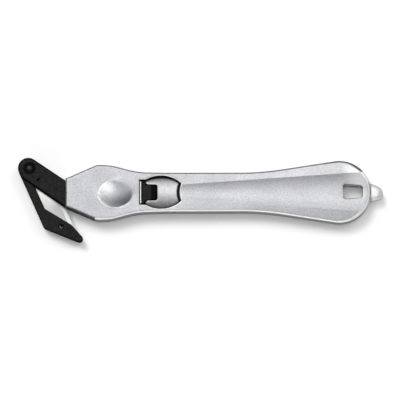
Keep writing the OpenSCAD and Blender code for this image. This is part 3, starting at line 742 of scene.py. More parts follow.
fixings = dict(studPlace=(0.6, -0.2), armPinPlace=(4.5, -5.4), guardPinPlace=(14.9, -26.6),
               ejectorPlace=(4.0, 1.9), studR=0.9, studHeadR=1.25, studHeadH=0.45, studSeat=0.06, pinR=0.9,
               pinSink=0.5, pinTilt=(0.19, -0.15), pinFall=0.25, pinHole=0.6, pinHoleShift=(0.22, 0.12),
               pinHoleFloor=0.3, pinHoleDark=1.05, boreR=0.95, boreReach=1.5, boreBevel=0.25, mouthR=1.5,
               roof=0.02, wedgeZone=1.6, wedgeR=0.14, wedge=[(-1.15, 0.15), (0.0, -0.95), (1.15, 0.9)],
               ringR=1.5, ejectorR=0.65, ringWidth=0.18, ringDepth=0.07)
f = fixings
studAt = noseAt + f["studPlace"]
armPinAt = noseAt + f["armPinPlace"]
guardPinAt = noseAt + f["guardPinPlace"]
ejectorAt = armPinAt + f["ejectorPlace"]

# Blade clamped between the shells; its plan runs down the leg
blade = dict(half=0.3, bevel=1.7, bevelBand=0.05, lip=0.03, edgeR=0.02, grid=0.7, pocketHalf=0.33,
             pocketGap=0.12,
             plan=[(15.35, 12.6), (4.5, 6.3), (7.3, 0.9), (25.6, 0.9), (35.1, 9.2), (34.8, 12.6)])
bladeCorners = [legPoint(*place) for place in blade["plan"]]


def buildBlade():
    # a flat blank with both sides ground down to the cutting edge
    b = blade
    edgeFrom, edgeTo = bladeCorners[0], bladeCorners[5]
    grindWay = (edgeTo - edgeFrom) / np.linalg.norm(edgeTo - edgeFrom)
    inward = -leftOf(grindWay)
    if (bladeCorners[2] - edgeFrom) @ inward < 0:
        inward = -inward
    lines = [np.array([edgeFrom + grindWay * t + inward * d for t in np.arange(-8, 32, 0.5)])
             for d in (b["bevel"] - b["bevelBand"], b["bevel"] + b["bevelBand"])]
    obj = slab("Blade", [tidyLoop([tuple(p) for p in bladeCorners], b["grid"])], midZ - b["half"], midZ + b["half"],
               b["edgeR"], b["edgeR"], None, b["grid"], 2, lines)

    def away(place):
        return (np.array(place[:2]) / mm - edgeFrom) @ inward

    for vertex in obj.data.vertices:
        depth = away(vertex.co)
        if depth < b["bevel"]:
            share = (b["lip"] + (b["half"] - b["lip"]) * max(depth, 0) / b["bevel"]) / b["half"]
            vertex.co.z = (midZ + (vertex.co.z / mm - midZ) * share) * mm
    carve(obj, *(cutBore(at, f["boreR"], midZ - 2, midZ + 2) for at in (armPinAt, guardPinAt)))
    finishMesh(obj, 4)
    for face in obj.data.polygons:
        face.material_index = int(away(face.center) < b["bevel"])
    return obj


bladePiece = buildBlade()
print("blade")


# The head's two moulded shells

def armPath():
    endX = c["mouthX"] - h["endGap"]
    fall = math.tan(math.radians(h["armAngle"])) * h["endGap"]
    lowEnd, highEnd = (endX, fall - h["lowAtMouth"]), (endX, h["topAtMouth"] + fall)
    knee = legPoint(h["kneeL"], 0)
    nose = arcPoints(noseAt, h["noseR"], angleOf(across), angleOf(-legSide) % 360, 0.3)
    return (cornerArc((endX, 0), highEnd, noseAt + across * h["noseR"], h["endR"]) + nose
            + cornerArc(legStart, knee, lowEnd, h["kneeR"]) + cornerArc(knee, lowEnd, (endX, 0), h["endR"]))


def hookPath():
    heelAt = legPoint(h["legL"], 0)
    tipAt = heelAt + heading(-h["guardAngle"]) * h["guardL"]
    innerAt = legPoint(h["legInL"], h["legW"])
    bendAt = innerAt + heading(-h["guardInAngle"]) * h["guardInL"]
    rootAt = legPoint(h["legInL"] - h["rootL"], h["legW"])
    corners = [(legPoint(*place), 0) for place in h["hookRoot"]]
    corners += [(heelAt, h["heelR"]), (tipAt, h["tipR"]), (bendAt, h["bendR"]), (innerAt, h["innerR"]), (rootAt, 0)]
    return roundedPath([(p[0], p[1], r) for p, r in corners])


def armEdge(loop):
    # the moulding is rounded over everywhere but where it meets the handle
    fromSeat = (c["mouthX"] - h["seatEdgeR"] - loop[:, 0]) / h["seatEdgeL"]
    return h["seatEdgeR"] + (h["armEdgeR"] - h["seatEdgeR"]) * smoothStep(fromSeat)


def shankLoop():
    # two prongs, with room for the latch between them
    outer, inner, endX = -h["shankHalf"], -h["forkHalf"], h["shankEnd"]
    return [tidyLoop(evenPath([(h["shankX"], outer, 0), (endX, outer, h["shankR"]), (endX, inner, h["shankR"]),
                               (h["forkX"], inner, h["forkR"])]), 4)]


def pinCutters(side, at, face):
    # a bore from inside with a bevelled mouth; the arm's one is closed in front, where sunk marks show
    far, over = midZ - side * f["boreReach"], face + side * 0.3
    if side > 0 and at is armPinAt:
        roof = face - f["pinSink"] + f["roof"]
        corners = [(at[0] + x, at[1] + y, f["wedgeR"]) for x, y in f["wedge"]]
        rings = [cutRing(ringAt, r, f["ringWidth"], face - f["ringDepth"], over)
                 for ringAt, r in ((at, f["ringR"]), (ejectorAt, f["ejectorR"]))]
        return [cutBore(at, f["boreR"], far, roof),
                cutSlab([tidyLoop(roundedPath(corners), 0.5)], roof - 0.1, over)] + rings
    r, bevel = f["boreR"], f["boreBevel"]
    return [cutRound(at, [(0, far), (r, far), (r, face - side * bevel), (r + bevel, face), (f["mouthR"], over),
                          (0, over)])]


def buildShell(name, side):
    # the front half (side 1) or the back half (side -1), from the middle out
    outer, hookZ, shankZ = (midZ + side * h[key] / 2 for key in ("armT", "hookT", "shankT"))

    def half(name, loops, level, edge, seam, steps=4):
        heights, radii = [midZ, level], [edge, seam]
        return slab(name, loops, *heights[::side], *radii[::side], steps=steps)

    shell = half(name, [tidyLoop(armPath(), 1.0)], outer, armEdge, h["seamR"], 5 if side > 0 else 4)
    shankFace = shankZ if side > 0 else h["bedZ"] - h["bedOverlap"]
    join(shell, half("part", [tidyLoop(hookPath(), 1.0)], hookZ, h["hookEdgeR"], h["seamR"]),
         half("part", shankLoop(), shankFace, h["shankEdgeR"], h["shankSeamR"]))
    if side < 0:
        join(shell, slab("part", boxLoop(h["shankX"], h["bedX"], h["shankHalf"], h["shankR"]), shankZ, h["bedZ"],
                         h["bedEdgeR"], h["shankEdgeR"]))
    centre = (bladeCorners[0] + bladeCorners[2] + bladeCorners[4]) / 3
    pocket = [tuple(p + (p - centre) / np.linalg.norm(p - centre) * blade["pocketGap"]) for p in bladeCorners]
    floor, dishR, foot = outer - side * h["dishDepth"], h["dishR"], h["dishFoot"]
    over, mouthR = outer + side * 0.4, dishR + h["dishLip"]
    dish = [(0, floor), (dishR - foot, floor), (dishR, floor + side * foot), (dishR, outer - side * 0.15),
            (mouthR, outer + side * 0.05), (mouthR + 0.15, over), (0, over)]
    carve(shell, cutSlab([tidyLoop(pocket, 40)], midZ - blade["pocketHalf"], midZ + blade["pocketHalf"]),
          cutRound(studAt, dish), cutBore(studAt, f["boreR"], *sorted((midZ - side, outer + side * 0.5))),
          *pinCutters(side, armPinAt, outer), *pinCutters(side, guardPinAt, hookZ))
    if side > 0:
        carve(shell, prismY("cutter", circle(h["grooveX"], h["grooveZ"], h["grooveR"]), h["grooveHalf"]))
    carve(shell, cutBore((h["rivetX"], 0), f["boreR"], midZ - h["rivetReach"], midZ + h["rivetReach"]))
    return shell


# painted shade: the darker edge plastic on the rounded edges and walls and round the arm pin's wedge, a darker
# plastic on the stud's dish
def shellFinish(x, y, z, nx, ny, nz):
    sunk = abs(z - midZ) < h["armT"] / 2 - 0.1
    if abs(nz) < h["edgeFrom"] or sunk and math.dist((x, y), armPinAt) < f["wedgeZone"]:
        return 1
    return 2 if sunk and math.dist((x, y), studAt) < h["dishR"] else 0


headFront = buildShell("HeadFrontShell", 1)
headBack = buildShell("HeadBackShell", -1)
sortFaces(headFront, shellFinish)
sortFaces(headBack, shellFinish)
print("head shells")


# Stud and locating pins

def buildStud():
    top, seat = midZ + h["armT"] / 2 - h["dishDepth"], f["studSeat"]
    dome = [(f["studHeadR"] * math.cos(a), top + seat + (f["studHeadH"] - seat) * math.sin(a))
            for a in np.linspace(0, math.pi / 2, 9)[:-1]]
    rim = [(f["studR"], top), (f["studHeadR"] - seat, top)]
    return evenLathe("NoseStud", rim + dome + [(0, top + f["studHeadH"])], studAt)


def buildPin(name, at, half):
    # its end is eased at the rim and hollow in the middle
    r, top = f["pinR"], midZ + half
    rings = [(r, 0.15), (r - 0.06, 0.05), (r - 0.18, 0), (r * 0.45, 0.02), (0, 0.14)]
    return evenLathe(name, [(q, top - down) for q, down in rings], at)


noseStud = buildStud()
armPin = buildPin("ArmPin", armPinAt, h["armT"] / 2 - f["pinSink"])
guardPin = buildPin("GuardPin", guardPinAt, h["hookT"] / 2 - f["pinSink"])
for vertex in guardPin.data.vertices:
    # the front end of this pin is set at a slant and has a hollow centre
    if vertex.co.z > midZ * mm:
        offset = vertex.co / mm - Vector((*guardPinAt, 0))
        fall = f["pinTilt"][0] * offset.x + f["pinTilt"][1] * offset.y
        vertex.co.z += (fall - f["pinFall"] * f["pinR"]) * mm
carve(guardPin, cutBore(guardPinAt + np.array(f["pinHoleShift"]), f["pinHole"], midZ + f["pinHoleFloor"], 8))
# below its slanted rim the pin's hollow gets the darker plastic, a painted shade
sortFaces(guardPin, lambda x, y, z, *normal: z < midZ + f["pinHoleDark"])
print("stud and pins")

# Latch tab: springy arm, cross bar and thumb tongue
latch = dict(hingeX=-27.0, hingeZ=6.7, beadR=0.8, armT=1.3, armR=0.05, armEdgeR=0.1, tongueHalf=3.35,
             tongueX=-2.05, tongueBendX=-4.5, tongueR=0.95, rootX=-6.1, rootR=0.25, barX=-9.55, barEnd=-6.45,
             barEndHalf=3.6, barChamferX=-7.95, barHalf=5.1, barR=0.1, chamferR=0.35, endR=0.3, barTop=8.5,
             plateauTop=8.7, tongueTop=8.1, earLow=5.2, earTop=5.8, earL=1.5, edgeR=0.28, inset=0.01,
             grid=0.6, stripT=0.6, stripTop=9.0, stripFoot=1.8, stripGap=0.02, stripHeelR=0.25,
             stripTopR=0.22, stripFootR=0.05, stripInnerR=0.02, stripEdge=0.15)


def latchHeight(x, y):
    t = latch
    slope = (t["tongueTop"] - t["plateauTop"]) / (t["tongueX"] - t["tongueBendX"])
    tongue = np.where(x < t["tongueBendX"], t["plateauTop"], t["plateauTop"] + slope * (x - t["tongueBendX"]))
    return np.where(np.abs(y) > t["tongueHalf"] + 0.05, t["barTop"], tongue)


def buildLatch():
    t = latch
    tabZ = t["hingeZ"] - t["armT"] / 2
    seat, inset = tabZ + t["armT"], t["inset"]
    plan = [(t["barX"], -t["barHalf"], t["barR"]), (t["barChamferX"], -t["barHalf"], t["chamferR"]),
            (t["barEnd"], -t["barEndHalf"], t["endR"]), (t["rootX"], -t["tongueHalf"], t["rootR"]),
            (t["tongueX"], -t["tongueHalf"], t["tongueR"])]
    # lines close to both sides of the bend across the tongue and of the steps beside it
    bendYs, stepXs = np.linspace(-3, 3, 12), np.linspace(-9.2, -6.6, 7)
    bend = [[(t["tongueBendX"] + d, y) for y in bendYs] for d in (-0.12, 0.12)]
    step = [[(x, side * (t["tongueHalf"] + d)) for x in stepXs] for side in (-1, 1) for d in (0.04, 0.16)]
    tab = slab("LatchTab", [tidyLoop(evenPath(plan), 0.5)], tabZ, t["barTop"], t["edgeR"], t["barR"], latchHeight,
               t["grid"], 4, bend + step)
    # the pieces below the plate stand just inside it, which keeps the cuts clean
    root = [(x - inset, y * 0.998, r) for x, y, r in plan[:3]]
    root[0] = (t["barX"] + inset, root[0][1], t["barR"])
    x0, x1 = t["barX"] + inset, t["barEnd"] + t["earL"]
    foot = [(x0, t["earLow"]), (x1, t["earLow"]), (x1, t["earTop"]), (x0, t["earTop"])]
    join(tab, slab("part", boxLoop(t["hingeX"], t["barX"] + 1, t["tongueHalf"] - inset, t["armR"]), tabZ + inset,
                   seat, t["armEdgeR"], t["armEdgeR"]),
         prismY("part", circle(t["hingeX"], t["hingeZ"], t["beadR"]), t["tongueHalf"]),
         slab("part", [tidyLoop(evenPath(root), 0.6)], t["earTop"] - 0.2, tabZ + 0.3, 0.02, 0.02),
         prismY("part", foot, t["barHalf"] - inset))
    front, gap = t["barX"] - 1, t["stripGap"]
    footX, stemX, footTop = t["barX"] + t["stripFoot"] + gap, t["barX"] + t["stripT"] + gap, seat + t["stripT"]
    carve(tab, prismY("cutter", [(front, seat - gap), (footX, seat - gap), (footX, footTop), (stemX, footTop),
                                 (stemX, 10), (front, 10)], 6))
    return tab


def buildStrip():
    # an upright strip with a foot, along the front of the cross bar
    t = latch
    seat = t["hingeZ"] + t["armT"] / 2
    x0, x1, x2, footTop = t["barX"], t["barX"] + t["stripT"], t["barX"] + t["stripFoot"], seat + t["stripT"]
    outline = [(x0, seat, t["stripHeelR"]), (x2, seat, t["stripFootR"]), (x2, footTop, t["stripFootR"]),
               (x1, footTop, t["stripInnerR"]), (x1, t["stripTop"], t["stripTopR"]),
               (x0, t["stripTop"], t["stripTopR"])]
    return prismY("LatchStrip", roundedPath(outline), t["barHalf"], t["stripEdge"])


latchTab = buildLatch()
sortFaces(latchTab, lambda x, *rest: x > latch["tongueBendX"])
latchStrip = buildStrip()
print("latch")

# Spring under the lever, its end turns closed
spring = dict(outerR=1.6, wireR=0.22, turns=4.5, flatTurns=0.75, top=5.85, sides=14, steps=30)


def buildSpring():
    s = spring
    count = math.ceil(s["turns"] * s["steps"])
    z0, rise = c["springFloor"] + s["wireR"], s["top"] - c["springFloor"] - 2 * s["wireR"]
    flat = s["flatTurns"] / s["turns"]
    sections = []
    for i in range(count + 1):
        t = i / count
        a = 2 * math.pi * s["turns"] * t
        lift = rise * min(max((t - flat) / (1 - 2 * flat), 0), 1)
        sections.append([(c["springX"] + r * math.cos(a), r * math.sin(a), z0 + lift + z)
                         for r, z in circle(s["outerR"] - s["wireR"], 0, s["wireR"], s["sides"])])
    return loftMesh("LeverSpring", sections)


leverSpring = buildSpring()
print("spring")


# Finishes

def newGroup(name, inputs, outputs):
    tree = bpy.data.node_groups.new(name, "ShaderNodeTree")
    for label, value in inputs.items():
        tree.interface.new_socket(label, in_out="INPUT", socket_type="NodeSocketFloat").default_value = value
    for label in outputs:
        tree.interface.new_socket(label, in_out="OUTPUT", socket_type="NodeSocketFloat")
    return tree, tree.nodes.new("NodeGroupInput").outputs, tree.nodes.new("NodeGroupOutput").inputs


def feed(socket, value):
    # a link from another node, a number, or a colour (one number is a grey)
    if isinstance(value, bpy.types.NodeSocket):
        socket.id_data.links.new(value, socket)
    elif socket.type == "RGBA":
        socket.default_value = (*(value if isinstance(value, tuple) else (value,) * 3), 1.0)
    else:
        socket.default_value = value


def addNode(tree, kind, **settings):
    # settings name the node's inputs, or else its own choices
    node = tree.nodes.new("ShaderNode" + kind)
    for key, value in settings.items():
        label = key.replace("_", " ")
        if label in node.inputs.keys():
            feed(node.inputs[label], value)
        else:
            setattr(node, key, value)
    return node


def calc(tree, operation, a, b, clamp=False):
    node = addNode(tree, "Math", operation=operation, use_clamp=clamp)
    feed(node.inputs[0], a)
    feed(node.inputs[1], b)
    return node.outputs[0]


def times(tree, a, b):
    return calc(tree, "MULTIPLY", a, b)


def spread(tree, value, low, high, toLow=0.0, toHigh=1.0):
    return addNode(tree, "MapRange", clamp=True, Value=value, From_Min=low, From_Max=high,
                   To_Min=toLow, To_Max=toHigh).outputs["Result"]


def mixColour(tree, factor, a, b):
    node = addNode(tree, "Mix", data_type="RGBA")
    for index, value in ((0, factor), (6, a), (7, b)):  # the colour sockets share their names with others
        feed(node.inputs[index], value)
    return node.outputs[2]


def objectPlace(tree):
    return addNode(tree, "TexCoord").outputs["Object"]


def noise(tree, place, scale, **settings):
    return addNode(tree, "TexNoise", Vector=place, Scale=scale, **settings).outputs["Fac"]


def grainGroup():
    # fine pitted grain and broad mottling of a blasted or moulded surface
    tree, given, out = newGroup("surfaceGrain", {"Grain Scale": 2500.0, "Mottle Scale": 180.0}, ("Height", "Mottle"))
    place = objectPlace(tree)
    fine = noise(tree, place, given["Grain Scale"], Detail=4.0, Roughness=0.6)
    broad = noise(tree, place, given["Mottle Scale"], Detail=5.0, Roughness=0.62)
    cells = addNode(tree, "TexVoronoi", Vector=place, Scale=times(tree, given["Grain Scale"], 0.55))
    pits = spread(tree, cells.outputs["Distance"], 0.1, 0.55)
    feed(out["Height"], calc(tree, "ADD", times(tree, fine, 0.65), times(tree, pits, 0.35)))
    feed(out["Mottle"], spread(tree, broad, 0.32, 0.68))
    return tree


def wearSheenShadeGroup():
    # worn convex edges, lighter, partly standing in for edge highlights, broken up by noise; and concave creases, a
    # mask for painted shade
    tree, given, out = newGroup("edgeWearAndSheen", {"Start": 0.53, "End": 0.6, "Break Scale": 900.0}, ("Mask", "Crease Shade"))
    point = addNode(tree, "NewGeometry").outputs["Pointiness"]
    speckle = noise(tree, objectPlace(tree), given["Break Scale"], Detail=3.0)
    broken = calc(tree, "ADD", point, times(tree, calc(tree, "SUBTRACT", speckle, 0.5), 0.06))
    feed(out["Mask"], spread(tree, broken, given["Start"], given["End"]))
    feed(out["Crease Shade"], spread(tree, point, 0.49, 0.42))
    return tree


def dustGroup():
    # smears and lint, spread by noise over every face
    tree, given, out = newGroup("handlingDust", {"Scale": 60.0}, ("Smear", "Lint"))
    place = objectPlace(tree)
    smear = noise(tree, place, given["Scale"], Detail=6.0, Roughness=0.7, Distortion=1.2)
    lint = noise(tree, place, times(tree, given["Scale"], 14.0), Detail=2.0)
    feed(out["Smear"], spread(tree, smear, 0.42, 0.66))
    feed(out["Lint"], spread(tree, lint, 0.68, 0.78))
    return tree


def grindGroup():
    # fine parallel lines of a ground or brushed face
    tree, given, out = newGroup("grindLines", {"Angle": 0.0, "Scale": 1500.0, "Stretch": 0.03}, ("Lines",))
    turn = addNode(tree, "CombineXYZ", Z=given["Angle"])
    spin = addNode(tree, "VectorRotate", rotation_type="EULER_XYZ", Vector=objectPlace(tree),
                   Rotation=turn.outputs["Vector"])
    squeeze = addNode(tree, "CombineXYZ", X=given["Stretch"], Y=1.0, Z=1.0)
    drawn = addNode(tree, "VectorMath", operation="MULTIPLY")
    feed(drawn.inputs[0], spin.outputs["Vector"])
    feed(drawn.inputs[1], squeeze.outputs["Vector"])
    feed(out["Lines"], noise(tree, drawn.outputs["Vector"], given["Scale"], Detail=3.0))
    return tree


grain, wearAndSheen, dust, grind = grainGroup(), wearSheenShadeGroup(), dustGroup(), grindGroup()


def useGroup(tree, group, **values):
    node = tree.nodes.new("ShaderNodeGroup")
    node.node_tree = group
    for key, value in values.items():
        node.inputs[key.replace("_", " ")].default_value = value
    return node.outputs


def newMaterial(name, metallic, edgeTint=1.0):
    material = bpy.data.materials.new(name)
    material.use_nodes = True
    shader = material.node_tree.nodes["Principled BSDF"].inputs
    feed(shader["Metallic"], metallic)
    feed(shader["Specular Tint"], edgeTint)
    return material, material.node_tree, shader


def addBump(tree, shader, height, strength, distance):
    bump = addNode(tree, "Bump", Strength=strength, Distance=distance, Height=height)
    feed(shader["Normal"], bump.outputs["Normal"])


def addLayers(tree, base, look, layers):
    # thin layers of other tones, each by a mask and its share
    for mask, share, tone in layers:
        base = mixColour(tree, times(tree, mask, share), base, look.get(tone, look["dark"]))
    return base


def addPaintedLight(tree, base, look):
    # painted highlights and painted shade: soft patches of another colour round the given points
    for at, near, far, share, colour in look.get("paintedLight", ()):
        away = addNode(tree, "VectorMath", operation="DISTANCE")
        feed(away.inputs[0], objectPlace(tree))
        feed(away.inputs[1], at)
        base = mixColour(tree, spread(tree, away.outputs["Value"], near, far, share, 0), base, colour)
    return base


def turnedAway(tree, start, end):
    return spread(tree, addNode(tree, "LayerWeight", Blend=0.5).outputs["Facing"], start, end)


def alloyMaterial(name, look):
    # die-cast light alloy, blasted satin, with painted shade where it is seen at a grazing angle
    material, tree, shader = newMaterial(name, look["metallic"], look["edgeTint"])
    g = useGroup(tree, grain, Grain_Scale=look["grainScale"], Mottle_Scale=look["mottleScale"])
    w = useGroup(tree, wearAndSheen, Start=look["wearStart"], End=look["wearEnd"], Break_Scale=700.0)
    d = useGroup(tree, dust, Scale=70.0)
    base = mixColour(tree, g["Mottle"], look["dark"], look["light"])
    base = mixColour(tree, spread(tree, g["Height"], 0.35, 0.75, 0, look["sparkle"]), base, look["bright"])
    # smears, painted shade in creases, and worn edges that are partly painted highlights
    base = addLayers(tree, base, look, (
        (d["Smear"], 0.15, "smear"), (w["Crease Shade"], 0.25, "hollow"), (w["Mask"], look["wearAndSheen"], "bright")))
    base = mixColour(tree, turnedAway(tree, look["grazeStart"], look["grazeEnd"]), base, look["graze"])
    feed(shader["Base Color"], addPaintedLight(tree, base, look))
    rough = spread(tree, g["Mottle"], 0, 1, look["rough"] - 0.02, look["rough"] + 0.03)
    rough = calc(tree, "ADD", rough, times(tree, d["Smear"], 0.04))
    feed(shader["Roughness"], calc(tree, "SUBTRACT", rough, times(tree, w["Mask"], 0.1)))
    addBump(tree, shader, g["Height"], look["bump"], look["bumpDepth"])
    return material


def plasticMaterial(name, look):
    # moulded black plastic with a fine spark-eroded grain
    material, tree, shader = newMaterial(name, 0.0)
    feed(shader["Specular IOR Level"], look["specular"])
    g = useGroup(tree, grain, Grain_Scale=look["grainScale"], Mottle_Scale=900.0)
    w = useGroup(tree, wearAndSheen, Start=0.53, End=0.62, Break_Scale=900.0)
    d = useGroup(tree, dust, Scale=90.0)
    base = mixColour(tree, g["Mottle"], look["dark"], look["light"])
    base = addLayers(tree, base, look, (
        (d["Smear"], 0.2, "smear"), (d["Lint"], 0.25, "lint"), (w["Mask"], 0.35, "bright")))
    # painted shade where the surface is seen at a grazing angle
    turned = turnedAway(tree, 0.06, 0.4)
    feed(shader["Base Color"], mixColour(tree, turned, base, look["graze"]))
    rough = spread(tree, g["Mottle"], 0, 1, look["rough"] - 0.05, look["rough"] + 0.07)
    feed(shader["Roughness"], calc(tree, "ADD", rough, times(tree, turned, 0.3), clamp=True))
    addBump(tree, shader, g["Height"], look["bump"], look["bumpDepth"])
    return material


def steelMaterial(name, look):
    # ground steel
    material, tree, shader = newMaterial(name, 1.0)
    lines = useGroup(tree, grind, Angle=math.radians(look["angle"]), Scale=look["lineScale"], Stretch=0.03)["Lines"]
    w = useGroup(tree, wearAndSheen, Start=0.52, End=0.6, Break_Scale=1200.0)
    d = useGroup(tree, dust, Scale=110.0)
    base = mixColour(tree, lines, look["dark"], look["light"])
    base = addLayers(tree, base, look, ((d["Smear"], 0.15, "smear"), (w["Mask"], 0.5, "bright")))
    feed(shader["Base Color"], addPaintedLight(tree, base, look))
    rough = spread(tree, lines, 0.3, 0.7, look["rough"] - 0.05, look["rough"] + 0.08)
    feed(shader["Roughness"], calc(tree, "ADD", rough, times(tree, d["Smear"], 0.05)))
    addBump(tree, shader, lines, look["bump"], look["bumpDepth"])
    return material


# Looks: each finish gives what differs from its family; a finish without a smear tone smears dark
paleAlloy = (0.91, 0.915, 0.94)
# hollow is the colour of the painted shade in creases, graze that of the painted shade seen at a grazing angle,
# bright that of worn edges, grain sparkle and painted highlights
alloyLook = dict(
    metallic=0.97, edgeTint=0.5, dark=(0.27, 0.271, 0.284), light=(0.355, 0.356, 0.373), hollow=(0.2, 0.2, 0.21),
    bright=paleAlloy, graze=(0.24, 0.24, 0.25), sparkle=0.18, wearAndSheen=0.3, rough=0.48, bump=0.5, bumpDepth=0.00014,
    grainScale=2600.0, mottleScale=1100.0, wearStart=0.53, wearEnd=0.6, grazeStart=0.35, grazeEnd=0.9)
alloyLooks = dict(
    # two painted highlights: a broad faint one over the rear of the handle and a small one on the tail's upper strip
    castAlloy=dict(smear=(0.29, 0.291, 0.305), paintedLight=[
        ((0.055, -0.006, 0.01), 0.02, 0.085, 0.07, paleAlloy),
        ((0.09, 0.0094, 0.01), 0.001, 0.0085, 0.6, paleAlloy)]),
    # castRim is near-white: painted highlights on the rims
    castRim=dict(metallic=0.5, dark=(0.88, 0.88, 0.89), light=(0.95, 0.95, 0.96), graze=(0.6, 0.6, 0.605), bump=0.3),
    # the dome's finish: one dark patch of painted shade on its lower right and three pale ones of painted highlight
    castThumb=dict(dark=(0.26, 0.261, 0.272), light=(0.32, 0.321, 0.334), paintedLight=[
        ((-0.0184, -0.0024, 0.011), 0.001, 0.007, 0.36, (0.1, 0.1, 0.105)),
        ((-0.0245, -0.0045, 0.011), 0.0005, 0.0048, 0.26, paleAlloy),
        ((-0.0150, 0.0042, 0.011), 0.0005, 0.0048, 0.2, paleAlloy),
        ((-0.0258, 0.0038, 0.011), 0.001, 0.0056, 0.3, paleAlloy)]),
    # a painted highlight line along the dome's lower-left lip
    castLip=dict(dark=(0.45, 0.451, 0.466), light=(0.5, 0.501, 0.517)),
    castSkin=dict(metallic=0.6, dark=(0.24, 0.24, 0.245), light=(0.34, 0.34, 0.346), hollow=0.12,
                  graze=(0.26, 0.26, 0.265), wearAndSheen=0.1, rough=0.6, bump=0.8),
    castShade=dict(metallic=0.9, dark=(0.08, 0.08, 0.082), light=(0.12, 0.12, 0.122), smear=(0.09, 0.09, 0.092),
                   hollow=0.05, graze=0.06, wearAndSheen=0.0, rough=0.6),
    # cavityAlloy is nearly black: painted shade inside the window
    cavityAlloy=dict(metallic=0.6, edgeTint=0.2, dark=(0.05, 0.05, 0.052), light=(0.1, 0.1, 0.102), smear=0.04,
                     hollow=0.02, bright=0.14, graze=0.03, sparkle=0.2, wearAndSheen=0.4, rough=0.7, bump=1.0,
                     grainScale=1800.0, mottleScale=300.0, wearStart=0.56, wearEnd=0.66, grazeStart=0.42),
    leverAlloy=dict(dark=(0.42, 0.42, 0.432), light=(0.58, 0.58, 0.595), hollow=0.2, bright=(0.88, 0.88, 0.9),
                    graze=0.08, sparkle=0.2, wearAndSheen=0.7, rough=0.57, bump=0.6, grainScale=2400.0, mottleScale=900.0,
                    grazeStart=0.5),
    splitterAlloy=dict(metallic=0.7, dark=(0.72, 0.72, 0.74), light=(0.82, 0.82, 0.84), hollow=(0.2, 0.2, 0.205),
                       bright=(0.85, 0.85, 0.86), graze=(0.35, 0.35, 0.355), sparkle=0.05, rough=0.58, bump=0.25,
                       mottleScale=600.0, wearStart=0.56, wearEnd=0.66),
)
plasticLook = dict(
    dark=(0.003, 0.0033, 0.003), light=(0.02, 0.0205, 0.02), smear=(0.012, 0.012, 0.0118), lint=0.03, bright=0.014,
    graze=0.001, rough=0.62, specular=0.1, bump=0.35, bumpDepth=0.00006, grainScale=3200.0)
plasticLooks = dict(
    headPlastic=dict(),
    # edgePlastic is nearly black: painted shade on the head's edges, in its pin holes and on the arm pin
    edgePlastic=dict(dark=0.001, light=0.002, smear=0.002, lint=0.01, bright=0.004, rough=0.75, specular=0.04),
    # tonguePlastic also covers the stud's dish, there as painted shade
    tonguePlastic=dict(dark=0.001, light=0.004, smear=0.003, specular=0.05),
    latchPlastic=dict(dark=0.004, light=0.02, smear=0.012, bright=0.02, graze=0.002, rough=0.6, grainScale=3000.0),
    studPlastic=dict(dark=0.003, light=0.007, smear=0.009, bright=0.015, rough=0.42, specular=0.32, bump=0.1,
                     grainScale=3500.0),
)
steelLook = dict(rough=0.45, bump=0.25, bumpDepth=0.00003, lineScale=2500.0, angle=0.0)
steelLooks = dict(
    # bladeSteel's patch is a painted highlight towards the blade's upper end
    bladeSteel=dict(dark=(0.29, 0.29, 0.281), light=(0.36, 0.36, 0.349), smear=(0.29, 0.29, 0.279),
                    bright=(0.8, 0.8, 0.79), rough=0.46, bump=0.35, lineScale=1400.0, angle=41.0,
                    paintedLight=[((-0.0565, 0.002, 0.005), 0.003, 0.0125, 0.5, (0.8, 0.8, 0.79))]),
    # the bevel is lighter than the flat: partly its own grind, partly a painted highlight
    bevelSteel=dict(dark=(0.55, 0.57, 0.565), light=(0.68, 0.7, 0.695), bright=(0.85, 0.87, 0.865), bump=0.3,
                    lineScale=1600.0, angle=49.0),
    stripSteel=dict(dark=(0.5, 0.5, 0.45), light=(0.64, 0.64, 0.58), bright=(0.8, 0.8, 0.76), angle=90.0),
    pinSteel=dict(dark=0.14, light=0.2, smear=0.12, bright=0.3),
    springSteel=dict(dark=(0.35, 0.35, 0.36), light=(0.48, 0.48, 0.49), smear=0.3, bright=0.7, rough=0.3, bump=0.2,
                     lineScale=3000.0),
    rivetSteel=dict(dark=0.09, light=0.14, smear=0.08, bright=0.2, rough=0.5, bump=0.2, lineScale=3000.0),
)
families = ((alloyMaterial, alloyLook, alloyLooks), (plasticMaterial, plasticLook, plasticLooks),
            (steelMaterial, steelLook, steelLooks))
finishes = {}
for makeMaterial, family, looks in families:
    for name, look in looks.items():
        finishes[name] = makeMaterial(name, {**family, **look})
print("materials:", len(finishes))


def dress(piece, *materials):
    indices = [face.material_index for face in piece.data.polygons]
    piece.data.materials.clear()
    for material in materials:
        piece.data.materials.append(material)
    for face, index in zip(piece.data.polygons, indices):
        face.material_index = min(index, len(materials) - 1)


pieces = [  # object, finishes by face, body, CAD node, material slot
    (handle, "castAlloy cavityAlloy castSkin castRim castShade castThumb castLip", "handle_body", "handle",
     "casting"),
    (tailSplitter, "splitterAlloy castShade", "handle_body", "tape_splitter", "splitter"),
    (releaseLever, "leverAlloy", "lever_body", "release_lever", "lever"),
    (headFront, "headPlastic edgePlastic tonguePlastic", "handle_body", "head_front_half", "head_plastic"),
    (headBack, "headPlastic edgePlastic tonguePlastic", "handle_body", "head_back_half", "head_plastic"),
    (bladePiece, "bladeSteel bevelSteel", "handle_body", "blade", "blade_steel"),
    (noseStud, "studPlastic", "handle_body", "nose_stud", "rivets"),
    # the arm pin, and the guard pin below its rim, take the darker edge plastic as painted shade
    (armPin, "edgePlastic", "handle_body", "arm_rivet", "rivets"),
    (guardPin, "rivetSteel edgePlastic", "handle_body", "guard_rivet", "rivets"),
    (latchTab, "latchPlastic tonguePlastic", "latch_body", "latch_tab", "latch_plastic"),
    (latchStrip, "stripSteel", "latch_body", "latch_strip", "strip_steel"),
    (leverSpring, "springSteel", "handle_body", "lever_spring", "spring"),
]
